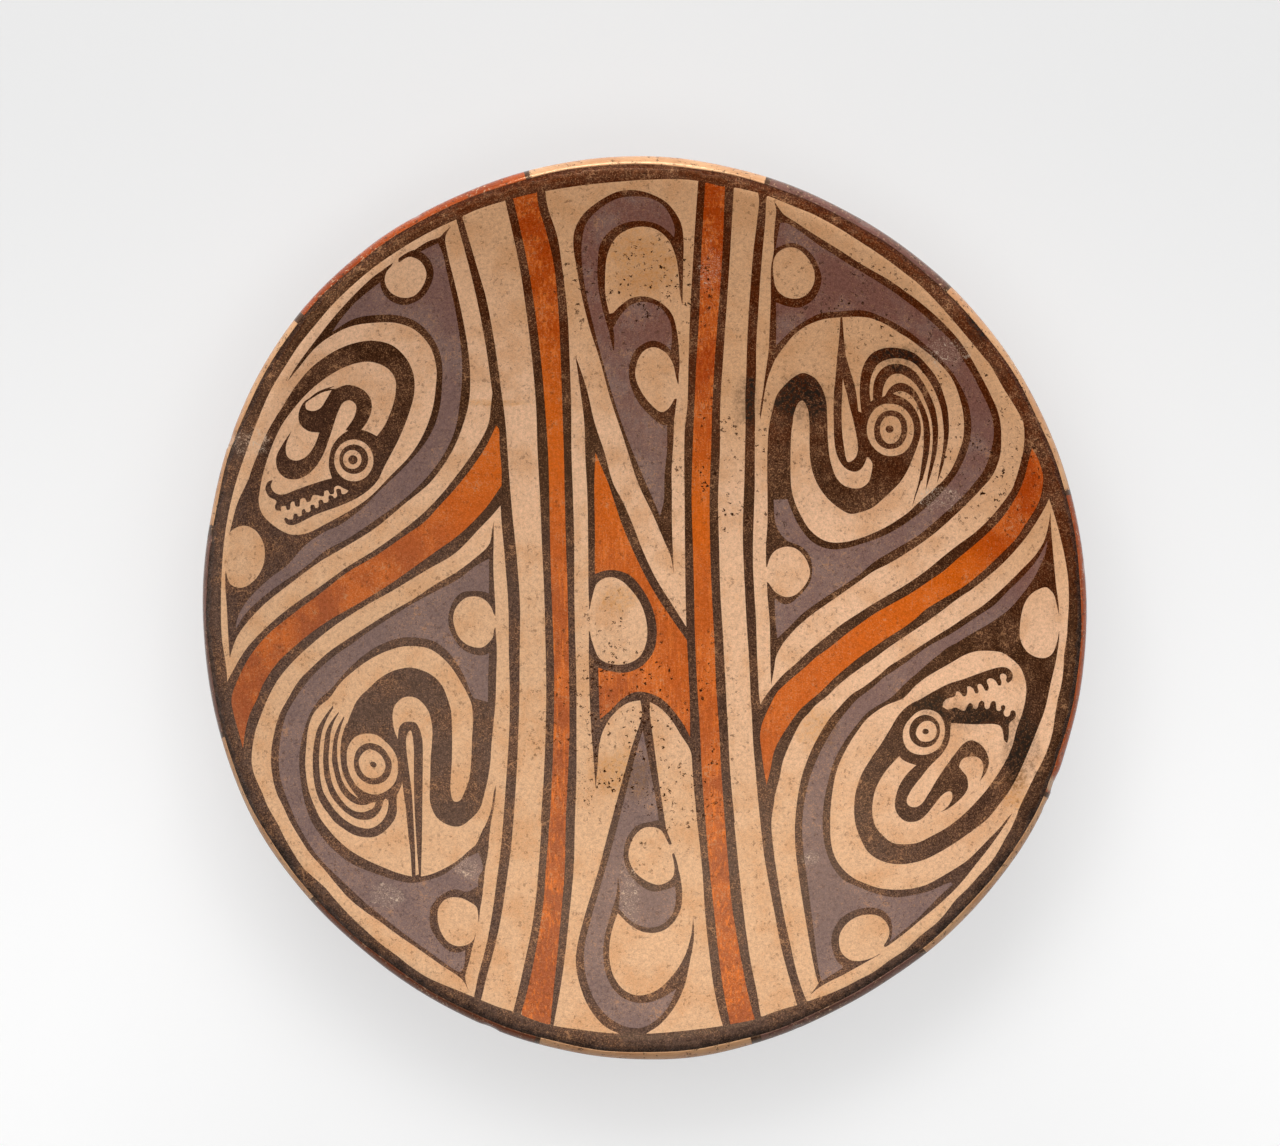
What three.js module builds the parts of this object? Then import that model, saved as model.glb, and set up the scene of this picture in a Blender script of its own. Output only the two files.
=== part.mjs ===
// A hand-built pottery plate: a shallow dish on a low foot ring, with a thick rolled lip.
// Millimetres, +Z up. The plate stands on the plane z = 0 and the middle of its foot is the origin.
//
// A potter makes such a plate from a flat slab of clay, raises the wall on it coil by coil,
// rolls the last coil over as the lip, and joins a ring under the slab as a foot. Each piece of
// clay is a mesh of its own here. Two pieces that are luted together share the bevelled face
// between them, point for point.

import * as THREE from "three";

// Plan of the whole plate
const rim_radius = 145; // mean radius to the outside of the lip
const facets_round = 80;

// The plate was shaped by hand, so its outline isn't a true circle. Each lobe is a wave round
// the rim: how many times it swells, by how much, and towards which compass angle from +X.
const hand_lobes = [
  { swells: 2, swell: 1.5, towards: 109 },
  { swells: 3, swell: 0.43, towards: 6 },
  { swells: 5, swell: 0.39, towards: -15 },
  { swells: 6, swell: 0.47, towards: 27 },
];

// Dish
const dish_depth = 34; // from the middle of the painted face up to where the lip begins
const dish_curve = 2.4; // 2 is a plain bowl; more keeps the middle flatter and the wall steeper
const clay_thickness = 7.5;
const table_clearance = 11; // under the middle of the slab

// Lip: a roll that turns over outwards and hangs below the wall
const lip_run = 8; // from where the roll begins to the outline
const lip_wrap = 195; // degrees that the roll turns through before it runs back under the wall
const lip_crease = 7; // run of the soft crease behind the hanging lip
const crease_chord = 1; // last run of the wall's underside, whose way the crease takes up
const lip_coil_run = 9; // clay of the lip coil inside the roll

// Wall
const wall_coils = ["lower", "middle", "upper"];
const lute_bevel = 4; // how far a joint slants outwards from the face to the underside

// Foot ring
const foot_radius = 61; // outside of the ring where it stands
const foot_tread = 7; // width of the ring's flat underside
const foot_round = 1.6; // worn edge beside the tread
const foot_waist = 57; // outside of the ring at its narrowest
const foot_waist_wall = 8;
const foot_weld = 3.5; // clay smeared out on to the slab on each side of the ring
const slab_margin = 7; // slab outside the foot's weld

// Straight steps that stand for each curve of a section
const weld_steps = 4;
const slab_under_steps = 4;
const slab_face_steps = 7;
const coil_steps = 3;
const lip_face_steps = 2;
const lip_roll_steps = 16;
const lip_crease_steps = 4;
const worn_edge_steps = 3;
const foot_side_steps = 4;

// Finish of the clay
const painted_slip = { color: 0xc89d79, roughness: 0.5, metalness: 0 };
const painted_lip = { color: 0x9a4a24, roughness: 0.45, metalness: 0 };
const plain_slip = { color: 0xa9714d, roughness: 0.7, metalness: 0 };

const face_radius = rim_radius - lip_run;
const slab_radius = foot_waist + foot_weld + slab_margin;
const coil_edge = face_radius - lip_coil_run;
const coil_run = (coil_edge - slab_radius) / wall_coils.length;

// Height of the painted face at a distance r from the middle, and its slope there
const floor_height = table_clearance + clay_thickness;
const face_height = (r) => floor_height + dish_depth * (r / face_radius) ** dish_curve;
const face_slope = (r) => (dish_curve * dish_depth * (r / face_radius) ** (dish_curve - 1)) / face_radius;

// A point on the painted face, and the point of the underside square below it through the clay
function face(r) {
  return new THREE.Vector2(r, face_height(r));
}

function under(r) {
  const slope = face_slope(r);
  const through = clay_thickness / Math.hypot(1, slope);
  return new THREE.Vector2(r + through * slope, face_height(r) - through);
}

// Points of a surface from one radius to another, both ends included
function run(surface, from, to, steps) {
  return Array.from({ length: steps + 1 }, (_, i) => surface(THREE.MathUtils.lerp(from, to, i / steps)));
}

// Points of a three.js curve, both ends included
const sampled = (curve, steps) => curve.getPoints(steps);

// How much wider than a true circle the plate is towards an angle, as a factor
function hand_plan(angle) {
  const swell = ({ swells, swell, towards }) => {
    return swell * Math.cos(swells * (angle - THREE.MathUtils.degToRad(towards)));
  };
  return 1 + hand_lobes.reduce((sum, lobe) => sum + swell(lobe), 0) / rim_radius;
}

// Turns a section, drawn as radius and height and going round counter-clockwise, about the plate's
// axis along the hand-made plan. A section whose ends lie on the axis stays open there. Every
// four-cornered facet is split from its inner corner, so that two pieces that share an edge of
// their sections share the same triangles between them.
function turned(section) {
  const on_axis = section[0].x === 0;
  const edges = on_axis ? section.length - 1 : section.length;
  const position = [];
  const corner = (point, step) => {
    const angle = (2 * Math.PI * (step % facets_round)) / facets_round;
    const radius = point.x * hand_plan(angle);
    return [radius * Math.cos(angle), radius * Math.sin(angle), point.y];
  };
  for (let i = 0; i < edges; i++) {
    const start = section[i];
    const end = section[(i + 1) % section.length];
    const start_is_inner = start.x < end.x || (start.x === end.x && start.y < end.y);
    for (let step = 0; step < facets_round; step++) {
      const [near_start, near_end] = [corner(start, step), corner(end, step)];
      const [far_start, far_end] = [corner(start, step + 1), corner(end, step + 1)];
      const split = start_is_inner ? near_start : near_end;
      const turn = start_is_inner ? far_end : near_start;
      const outer_half = start_is_inner ? [split, turn, near_end] : [split, turn, far_start];
      const inner_half = [split, far_start, far_end];
      // A facet that ends on the axis is only its outer half
      position.push(...outer_half.flat());
      if (start.x > 0 && end.x > 0) position.push(...inner_half.flat());
    }
  }
  const geometry = new THREE.BufferGeometry();
  geometry.setAttribute("position", new THREE.Float32BufferAttribute(position, 3));
  geometry.computeVertexNormals();
  return geometry;
}

const plate = new THREE.Group();

function add_piece(name, section, finish) {
  const mesh = new THREE.Mesh(turned(section), new THREE.MeshStandardMaterial(finish));
  mesh.name = name;
  plate.add(mesh);
}

// Where the foot's weld meets the underside of the slab; the slab and the ring share these points
const weld_inner = foot_waist - foot_waist_wall - foot_weld;
const weld_outer = foot_waist + foot_weld;
const foot_seat = run(under, weld_inner, weld_outer, weld_steps);

// Base slab: the floor of the dish
const slab_edge = under(slab_radius + lute_bevel);
add_piece("base_slab", [
  ...run(under, 0, weld_inner, slab_under_steps).slice(0, -1),
  ...foot_seat,
  slab_edge,
  ...run(face, slab_radius, 0, slab_face_steps),
], painted_slip);

// Wall coils, each luted to the one inside it along a bevel
wall_coils.forEach((place, i) => {
  const inner = slab_radius + i * coil_run;
  const outer = inner + coil_run;
  add_piece(`wall_coil_${place}`, [
    ...run(under, inner + lute_bevel, outer + lute_bevel, coil_steps),
    ...run(face, outer, inner, coil_steps),
  ], painted_slip);
});

// Lip coil: the face runs straight on into a round roll, which turns over and back under the wall
const lip_slope = Math.atan(face_slope(face_radius));
const lip_radius = lip_run / (1 + Math.sin(lip_slope));
const roll_start = Math.PI / 2 + lip_slope;
const roll_end = roll_start - THREE.MathUtils.degToRad(lip_wrap);
const roll_middle = new THREE.Vector2(
  rim_radius - lip_radius,
  face_height(face_radius) - lip_radius * Math.sin(roll_start),
);
const on_roll = (angle) => new THREE.Vector2(
  roll_middle.x + lip_radius * Math.cos(angle),
  roll_middle.y + lip_radius * Math.sin(angle),
);
const roll = run(on_roll, roll_end, roll_start, lip_roll_steps);

// The crease leaves the wall and reaches the roll along the way of each
const crease_end = coil_edge + lute_bevel;
const crease_way = under(crease_end).sub(under(crease_end - crease_chord)).normalize();
const roll_way = new THREE.Vector2(Math.sin(roll_end), -Math.cos(roll_end));
const crease_handle = lip_crease / 3;
const crease = sampled(new THREE.CubicBezierCurve(
  under(crease_end),
  under(crease_end).addScaledVector(crease_way, crease_handle),
  roll[0].clone().addScaledVector(roll_way, crease_handle),
  roll[0],
), lip_crease_steps);
add_piece("lip_coil", [
  ...crease,
  ...roll.slice(1),
  ...run(face, face_radius, coil_edge, lip_face_steps).slice(1),
], painted_lip);

// Foot ring: flat tread with worn edges, drawn in at the waist and smeared on to the slab
const tread_outer = foot_radius - foot_round;
const tread_inner = foot_radius - foot_tread + foot_round;
const waist_height = under(foot_waist).y / 2;

function worn_edge(x, from, to) {
  const corner = new THREE.EllipseCurve(x, foot_round, foot_round, foot_round, from, to);
  return sampled(corner, worn_edge_steps);
}

const outer_side = sampled(new THREE.QuadraticBezierCurve(
  new THREE.Vector2(foot_radius, foot_round),
  new THREE.Vector2(foot_waist, waist_height),
  foot_seat.at(-1),
), foot_side_steps);
const inner_side = sampled(new THREE.QuadraticBezierCurve(
  foot_seat[0],
  new THREE.Vector2(foot_waist - foot_waist_wall, waist_height),
  new THREE.Vector2(foot_radius - foot_tread, foot_round),
), foot_side_steps);
add_piece("foot_ring", [
  ...worn_edge(tread_outer, -Math.PI / 2, 0),
  ...outer_side.slice(1, -1),
  ...foot_seat.slice().reverse(),
  ...inner_side.slice(1, -1),
  ...worn_edge(tread_inner, Math.PI, 1.5 * Math.PI),
], plain_slip);

export default plate;
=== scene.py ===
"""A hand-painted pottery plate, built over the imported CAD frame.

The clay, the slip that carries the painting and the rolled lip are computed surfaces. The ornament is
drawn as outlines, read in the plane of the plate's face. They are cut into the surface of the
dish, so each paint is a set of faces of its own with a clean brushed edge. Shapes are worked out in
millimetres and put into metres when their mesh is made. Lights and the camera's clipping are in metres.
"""

import math

import bpy
import numpy as np
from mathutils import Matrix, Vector
from mathutils.geometry import delaunay_2d_cdt


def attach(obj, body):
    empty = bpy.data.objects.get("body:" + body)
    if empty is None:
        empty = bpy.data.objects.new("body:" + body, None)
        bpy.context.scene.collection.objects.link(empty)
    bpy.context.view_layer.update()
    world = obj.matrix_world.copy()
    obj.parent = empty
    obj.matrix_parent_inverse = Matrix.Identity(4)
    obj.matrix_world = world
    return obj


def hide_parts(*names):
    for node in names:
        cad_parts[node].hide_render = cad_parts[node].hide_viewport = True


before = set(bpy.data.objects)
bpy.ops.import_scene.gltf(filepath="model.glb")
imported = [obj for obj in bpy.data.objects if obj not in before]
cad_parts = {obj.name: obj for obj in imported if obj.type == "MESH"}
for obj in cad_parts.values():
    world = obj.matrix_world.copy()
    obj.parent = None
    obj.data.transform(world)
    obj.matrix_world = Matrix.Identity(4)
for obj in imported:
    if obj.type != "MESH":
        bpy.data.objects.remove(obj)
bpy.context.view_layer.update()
random = np.random.default_rng(7)

MM = 0.001
TURN = 2 * np.pi
TINY = 1e-9

# Sizes of the plate in millimetres, as in the CAD source. A hand lobe is how many times the rim swells,
# by how much, and towards which compass angle
RIM_RADIUS = 145.0
HAND_LOBES = ((2, 1.5, 109), (3, 0.43, 6), (5, 0.39, -15), (6, 0.47, 27))
DISH_DEPTH, DISH_CURVE = 34.0, 2.4
CLAY_THICKNESS, TABLE_CLEARANCE = 7.5, 11.0
LIP_RUN, LIP_WRAP, LIP_COIL_RUN, LUTE_BEVEL = 8.0, 195.0, 9.0, 4.0
LIP_CREASE, CREASE_CHORD = 7.0, 1.0
FOOT_RADIUS, FOOT_TREAD, FOOT_ROUND = 61.0, 7.0, 1.6
FOOT_WAIST, FOOT_WAIST_WALL, FOOT_WELD = 57.0, 8.0, 3.5

FACE_RADIUS = RIM_RADIUS - LIP_RUN
FLOOR_HEIGHT = TABLE_CLEARANCE + CLAY_THICKNESS

# Points round the plate, size of a triangle of the face, and thickness of the painted coats
ROUND = 540
GRID_STEP = 2.3
COAT = 0.5


def hand_plan(angle):
    """How much wider than a true circle the plate is: 1 plus the sum of the lobes over the rim radius."""
    swell = sum(s * np.cos(n * (angle - math.radians(t))) for n, s, t in HAND_LOBES)
    return 1 + swell / RIM_RADIUS


def dish_height(r):
    """The floor, plus the depth times a power of r over the radius of the face."""
    return FLOOR_HEIGHT + DISH_DEPTH * (np.abs(r) / FACE_RADIUS) ** DISH_CURVE


def dish_slope(r):
    """The derivative of the height of the dish."""
    return DISH_CURVE * DISH_DEPTH * (np.abs(r) / FACE_RADIUS) ** (DISH_CURVE - 1) / FACE_RADIUS


# The roll of the lip, a circle in section that the face runs on into
LIP_SLOPE = math.atan(dish_slope(FACE_RADIUS))
LIP_RADIUS = LIP_RUN / (1 + math.sin(LIP_SLOPE))
ROLL_START = math.pi / 2 + LIP_SLOPE
ROLL_END = ROLL_START - math.radians(LIP_WRAP)
ROLL_R = RIM_RADIUS - LIP_RADIUS
ROLL_Z = dish_height(FACE_RADIUS) - LIP_RADIUS * math.sin(ROLL_START)


def face_height(r):
    """Height of the painted side at a distance r: the dish, and beyond it the top of the roll."""
    roll = ROLL_Z + np.sqrt(np.maximum(LIP_RADIUS ** 2 - (r - ROLL_R) ** 2, 0))
    return np.where(r <= FACE_RADIUS, dish_height(r), roll)


def under(r):
    """The point of the underside square below the face at r, as radius and height."""
    slope = dish_slope(r)
    through_clay = CLAY_THICKNESS / np.hypot(1, slope)
    return np.stack([r + through_clay * slope, dish_height(r) - through_clay], -1)


def on_roll(radius, angle):
    """Radius and height of a point of the roll's section, at a radius and an angle round its middle."""
    return ROLL_R + radius * np.cos(angle), ROLL_Z + radius * np.sin(angle)


def bezier(points, t):
    """A curve drawn by control points: their sum, weighted by the binomial terms of t."""
    n = len(points) - 1
    return sum(math.comb(n, i) * (1 - t)[:, None] ** (n - i) * t[:, None] ** i * np.asarray(p)
               for i, p in enumerate(points))


# Hand-made unevenness, used by every surface alike so that neighbours still meet
WAVE_COUNT, WAVE_PITCHES, WAVE_LENGTH, WAVE_HEIGHT = 26, (0.02, 0.11), 2.4, 0.0016
WAVES = [(random.uniform(*WAVE_PITCHES), random.uniform(0, TURN), random.uniform(0, TURN))
         for _ in range(WAVE_COUNT)]


def unevenness(x, y):
    """Sum of plane waves in many directions, each weaker the finer it is; about 0.15 mm in all."""
    total = np.zeros_like(x)
    for pitch, way, phase in WAVES:
        along = x * np.cos(way) + y * np.sin(way)
        total += np.sin(along * pitch * TURN / WAVE_LENGTH + phase) * WAVE_HEIGHT / pitch
    return total


# Places on the lip where the edge is chipped: compass angle, angle round the roll, reach and depth
CHIPS = (
    (-23.3, 18, 3.2, 0.6), (-26.4, 12, 1.8, 0.35), (-19.5, 30, 2.0, 0.35), (158, 20, 2.4, 0.5),
    (171, 35, 2.0, 0.45), (60, 28, 1.8, 0.4), (-110, 12, 2.6, 0.5), (-70, 22, 1.6, 0.4),
    (120, 12, 1.9, 0.4), (5, 15, 1.6, 0.35))
CHIP_RAGGED, CHIP_REACH, CHIP_ROUND = 0.25, 1.25, 0.7
RAGGED_X, RAGGED_Y, RAGGED_Z = 2.3, 2.9, 1.7


def chipping(x, y, z):
    """Depth that is missing from the lip: a rounded hollow with a ragged edge at each chip."""
    depth = np.zeros_like(x)
    for compass_degrees, roll_degrees, reach, deep in CHIPS:
        angle = math.radians(compass_degrees)
        r, height = on_roll(LIP_RADIUS, math.radians(roll_degrees))
        r = r * hand_plan(angle)
        away = np.sqrt((x - r * math.cos(angle)) ** 2 + (y - r * math.sin(angle)) ** 2 + (z - height) ** 2)
        ragged = 1 + CHIP_RAGGED * np.sin(x * RAGGED_X + z * RAGGED_Z) * np.sin(y * RAGGED_Y - z)
        depth = np.maximum(depth, deep * np.clip(CHIP_REACH - away / (reach * ragged), 0, 1) ** CHIP_ROUND)
    return depth


def placed(section_r, section_z, normal_r, normal_z, angle):
    """Points of a turned surface.

    A point lies at its radius times the hand plan along its compass angle, and is moved along the
    section's normal by the unevenness less the chips.
    """
    r = section_r * hand_plan(angle)
    x, y = r * np.cos(angle), r * np.sin(angle)
    z = section_z + 0 * x
    moved = unevenness(x, y) - chipping(x, y, z)
    return np.stack([x + moved * normal_r * np.cos(angle), y + moved * normal_r * np.sin(angle),
                     z + moved * normal_z], -1)


def quarter_left(way):
    """Directions in a plane turned by a quarter to the left."""
    return np.stack([-way[:, 1], way[:, 0]], 1)


# Lines and shapes of the painting, in the plane of the rim as the camera sees them: the paints, the mark
# of a sharp corner, the spacing of a line's points, and the fewest points of an oval
CREAM, BLACK, PURPLE, ORANGE = 0, 1, 2, 3
K = "corner"
STEP = 0.8
LEAST_OVAL_POINTS = 12
PAINT = []


def picked(numbers):
    """Points from numbers x, y, x, y and so on, where a K after a point stays with it."""
    points = []
    for number in numbers:
        if number is K or (points and len(points[-1]) == 1):
            points[-1] += (number,)
        else:
            points.append((number,))
    return points


def through(points, closed=True, step=STEP):
    """A smooth line through given points. A third value marks a sharp corner.

    Between each two points it is a cubic, with tangents weighted by the square roots of the chords.
    """
    xy = np.array([p[:2] for p in points], float)
    sharp = [len(p) > 2 for p in points]
    count = len(points)
    first = sharp.index(True) if closed and any(sharp) else 0
    order = [(first + i) % count for i in range(count + 1)] if closed else list(range(count))
    line = []
    for a, b in zip(order[:-1], order[1:]):
        before = (a - 1) % count if closed else max(a - 1, 0)
        after = (b + 1) % count if closed else min(b + 1, count - 1)
        p1, p2 = xy[a], xy[b]
        p0 = p1 if sharp[a] else xy[before]
        p3 = p2 if sharp[b] else xy[after]
        chord = np.linalg.norm(p2 - p1)
        if chord < TINY:
            continue
        spans = ((p0, p1), (p1, p2), (p2, p3))
        d0, d1, d2 = (max(np.linalg.norm(q - p), TINY) ** 0.5 for p, q in spans)
        m1, m2 = p2 - p1, p2 - p1
        if not np.allclose(p0, p1):
            m1 = ((p1 - p0) / d0 - (p2 - p0) / (d0 + d1)) * d1 + (p2 - p1)
        if not np.allclose(p3, p2):
            m2 = (p2 - p1) - ((p3 - p1) / (d1 + d2) - (p3 - p2) / d2) * d1
        n = max(int(np.ceil(chord / step)), 1)
        t = (np.arange(n) / n)[:, None]
        line.append((2 * t**3 - 3 * t**2 + 1) * p1 + (t**3 - 2 * t**2 + t) * m1
                    + (3 * t**2 - 2 * t**3) * p2 + (t**3 - t**2) * m2)
    if not closed:
        line.append(xy[-1:])
    return np.vstack(line)


def blob(paint, *numbers):
    """A shape of one paint inside a closed smooth line through x, y, x, y and so on."""
    PAINT.append((paint, through(picked(numbers))))


def oval(paint, x, y, width, height, turn=0.0):
    """An oval of one paint: half the width times cos a, half the height times sin a, turned by degrees."""
    n = max(int(np.pi * (width + height) / 2 / STEP), LEAST_OVAL_POINTS)
    a = np.linspace(0, TURN, n, endpoint=False)
    u, v = width / 2 * np.cos(a), height / 2 * np.sin(a)
    c, s = np.cos(np.radians(turn)), np.sin(np.radians(turn))
    PAINT.append((paint, np.stack([x + c * u - s * v, y + s * u + c * v], 1)))


def ribbon(paint, *rows):
    """A brushed line: rows of x, y and full width along its middle. A width of 0 ends in a point."""
    rows = np.array(rows, float)
    line = through([tuple(r[:2]) for r in rows], closed=False)
    along = np.r_[0, np.cumsum(np.linalg.norm(np.diff(line, axis=0), axis=1))]
    places = [np.argmin(np.linalg.norm(line - r[:2], axis=1)) for r in rows]
    width = np.interp(along, along[places], rows[:, 2])
    way = np.gradient(line, axis=0)
    way /= np.linalg.norm(way, axis=1)[:, None]
    side = quarter_left(way) * width[:, None] / 2
    PAINT.append((paint, np.vstack([line + side, (line - side)[::-1]])))


def strip(paint, *rows):
    """A line down the plate: rows of y and the x of its left and right edge, from the top down."""
    left = through([(r[1], r[0]) for r in rows], closed=False)
    right = through([(r[2], r[0]) for r in rows], closed=False)
    PAINT.append((paint, np.vstack([left, right[::-1]])))


# Upper left: a crested head with open, toothed jaws inside a purple crescent
# Black ground under the purple crescent, its tail and the corner at the left
blob(BLACK, -62.3, 123.3, K, -64.1, 119.8, -63.5, 115, -61.1, 105, -58.8, 95, -57, 85, -56.1, 76,
     -56.5, 66.5, -58.6, 58.5, -62.2, 50, -69, 40.4, -77.4, 33.3, -87, 25.4, -95.9, 19.8, -105.2, 14.3,
     -114.5, 7.4, -122.6, 1, -128.4, -5.1, -131.8, -10, -134.1, -16.6, K, -134.5, -10.6, -135.1, 0,
     -135.6, 7, -135.4, 13, -134.9, 21, -133.9, 24.8, -131.6, 33.5, -127.7, 42.1, -123.5, 53.2,
     -119.2, 61.3, -116.5, 66, K, -115.4, 72.9, K, -112.8, 77.4, -107, 85.4, -100, 94.3, -93.6, 101.3,
     -87, 107.4, -81.5, 111, -76.5, 114, -69.9, 118.3, -65.8, 119.9, -64.4, 121.4)
blob(PURPLE, -66.5, 117.8, K, -65.2, 115, -62.9, 105, -60.7, 95, -59.1, 84, -58.7, 76, -59.5, 66, -61, 57.5,
     -64.3, 50, -69.3, 43, -77.4, 35, -87, 28, -95.9, 22, -102.9, 18.2, -111, 11.8, -116.8, 8, -123.8, 2.7,
     -129.2, -2.6, -132.2, -7.3, K, -131.6, -3.7, -128.3, 2, -121.5, 8.8, -115.7, 13.2, -109.9, 19.6,
     -104, 23.8, -98.3, 26.5, -91, 32, -85.5, 37.6, -78.6, 44.2, -72.3, 51, -68.5, 56.8, -66.2, 63.5,
     -65.2, 72, -65.4, 80, -67.8, 86.4, -73, 92, -79, 94.4, -87, 94.6, -94, 93.3, -100.8, 89.2, K,
     -98.3, 92.9, -93.6, 98.4, -87, 103.9, -82, 107.5, -76, 112, -71.6, 115.3)
# Disc, open to the rim
blob(BLACK, -74, 115.6, -69.5, 112.8, -67.9, 108.5, -69.2, 103.6, -72.2, 99.8, -77.4, 97.8, -82.2, 99.4,
     -85, 103.2, -85.2, 107.6, K, -84, 109.6, K)
blob(CREAM, -76, 113.4, -72.3, 112, -70.3, 108.3, -71.2, 104.4, -74.3, 100.8, -78.2, 100.2, -82, 102,
     -83.8, 105.5, -83.2, 108.6, -81.4, 110.8, -81, 113, K, -79.2, 113.6, K, -79.3, 111.7)
# Cream ring inside the crescent, running out to the rim at the left
blob(CREAM, -115.4, 72.9, K, -112.2, 76.8, -106.4, 83.8, -101.7, 87.5, -94.8, 90.9, -87, 92.1, -79.5, 91.9,
     -73.6, 89.4, -69, 84.1, -67.1, 77.4, -67.3, 71, -68.4, 63.8, -71.3, 55.9, -75.7, 49, -82, 42.4,
     -89, 35.3, -95, 31.2, -102.9, 26.8, -109.3, 23.7, -114.5, 23.4, -119.7, 26.1, -123.7, 30.2, -124.8, 35,
     -123.6, 42, -121.3, 50, -118.4, 56.6, K, -118.4, 66, K)
# Oval at the rim
blob(CREAM, -129.6, 26.2, -126.2, 25, -123.6, 21.5, -122.7, 17, -123.6, 12.5, -126.4, 8.2, -130.6, 6,
     -133.9, 7.2, -135.2, 10.4, -135.5, 12.8, K, -137.5, 14, K, -137, 19.5, K, -135, 20.9, K, -133.7, 24.4)
# Black ring that runs into the head with its open jaws
blob(BLACK, -128, 36, K, -127.7, 42.1, -125.6, 48.1, -121.7, 57, -117, 64.7, -112.3, 72, -107, 78,
     -100, 82.9, -94, 85.4, -87.5, 86.3, -81.5, 84.8, -77.1, 80.8, -74.5, 75.3, -74.3, 69, -76.2, 62,
     -79.1, 54.8, -83.8, 45.8, -86.6, 40.3, -91.5, 36, -97.8, 32.9, -106.4, 29.7, -113.2, 26.5,
     -115.4, 26.6, -116.5, 28.4, -115.4, 29.2, K, -117.6, 30.9, -119.2, 31.3, -119.5, 32.6, -119, 34.2,
     -121.3, 35.5, -122.6, 38, -121.8, 40.4, -120.2, 41.1, K, -120.8, 38.9, -119.5, 36.9, -117, 36.3,
     -112.3, 38, -104.7, 40.6, -101, 41.6, K, -102, 45.5, -101.2, 51.1, -98.3, 55.3, -94, 57.6, -90, 57,
     -86.4, 55.3, K, -84, 58.6, -81.6, 64, -80.3, 69.5, -80.5, 74, -83, 77.3, -88.5, 79.4, -94.9, 78.4,
     -101.3, 75.2, -108.1, 69.9, -113.2, 64.3, -117.5, 58.3, -121, 50.5, -123.6, 42, -124.8, 35, K)
# Neck that doubles back, with its hooked end
blob(BLACK, -92, 56.6, K, -89.4, 60.2, -88, 64.6, -88.7, 67.9, -91.5, 70.7, -96, 71.9, -99.8, 70.6, K,
     -103.5, 70.5, -107.3, 68, -109.9, 66.4, -111.6, 63, -111.4, 59.4, -108.6, 56.9, -105, 56.4, K,
     -106.7, 52.1, -109.4, 48.6, -112.8, 47.3, -115.4, 48.6, -115.9, 51.9, -114.1, 56.8, K, -116.6, 53.2,
     -119, 48.5, -118.7, 44.6, -116.2, 41.8, -112.3, 41.3, -108, 43.5, -104.2, 48.5, -101.7, 54.9,
     -98.9, 63.2, -97.2, 66.2, -95.2, 66.9, -93.2, 65.4, -93.6, 61.8, -96.6, 57.2, K)
ribbon(BLACK, (-108, 67.3, 0.7), (-105.6, 69.2, 0.6), (-103, 70.4, 0.5), (-100.2, 71.4, 0.2))
blob(CREAM, -101, 70.2, K, -102.6, 67.4, -104.6, 64.4, -106.8, 63.4, -109.2, 64, -109.4, 65.8, -107, 67.7,
     -104, 69.4)
# Eye
oval(CREAM, -93.9, 47.4, 12.7, 13.6)
oval(BLACK, -93.9, 47.8, 9.4, 9.6)
oval(CREAM, -94.4, 47.7, 6, 6.2)
oval(BLACK, -94.2, 47.6, 3.1, 3.1)
# Teeth
blob(CREAM, -117.5, 30.6, K, -117.4, 32.4, -116, 32.6, -115.7, 31.4, -114.6, 31.5, -114.3, 33.7, -113.2, 34,
     -112.9, 32.6, -111.6, 32.4, -111.2, 34.8, -109.8, 35.1, -109.2, 34, -108, 34.1, -107.2, 36,
     -105.6, 36.1, -104.4, 35.7, -103.6, 35.9, -103.4, 37.4, -102.2, 37.6, -101.6, 36.4, -100.4, 36.6,
     -100.2, 38.6, -99, 39.2, -97.2, 38.3, -95.6, 37.6, K, -96.4, 36.7, -97.7, 36.5, -98.2, 38.1, -99.6, 38,
     -99.3, 35.8, -100.2, 35.1, -100.8, 36, -102, 36, -102.2, 34, -103.6, 33.6, -104.1, 34.6, -105.3, 34.4,
     -105.3, 32.3, -106.4, 32, -106.7, 33, -107.9, 32.8, -108, 30.9, -109.3, 30.6, -109.9, 31.7,
     -110.7, 31.2, -110.9, 29.4, -112, 29.3, -112.2, 30, -113.3, 30, -113.7, 28.3, -115.2, 28.3, K)

# Middle of the plate: stripes, hooks and drops, and an orange wedge with its disc
# Stripes of orange between pairs of black lines
strip(ORANGE, (140, -44.5, -33.5), (125, -41.6, -31.2), (110, -38.6, -27.5), (95, -36.3, -26),
      (80, -34.6, -25.3), (60, -33, -24.7), (40, -32.1, -24.2), (20, -31.5, -23.7), (0, -30.8, -23.2),
      (-20, -30.2, -22.9), (-40, -30.1, -22.8), (-60, -31, -23.1), (-80, -33, -23.7), (-100, -35, -25.3),
      (-120, -38, -27.5), (-138, -40, -30))
strip(ORANGE, (140, 19.2, 28.2), (125, 18.2, 27.5), (110, 17.4, 26.8), (95, 16.8, 25.7), (80, 16.1, 24.8),
      (60, 15.1, 23.8), (40, 14.7, 23.2), (20, 14.9, 23.2), (0, 15.4, 24), (-20, 16, 25), (-40, 17, 26.2),
      (-60, 18, 27.4), (-80, 20, 29.2), (-100, 21.7, 31.3), (-120, 23.9, 34), (-138, 27.5, 37))
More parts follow.
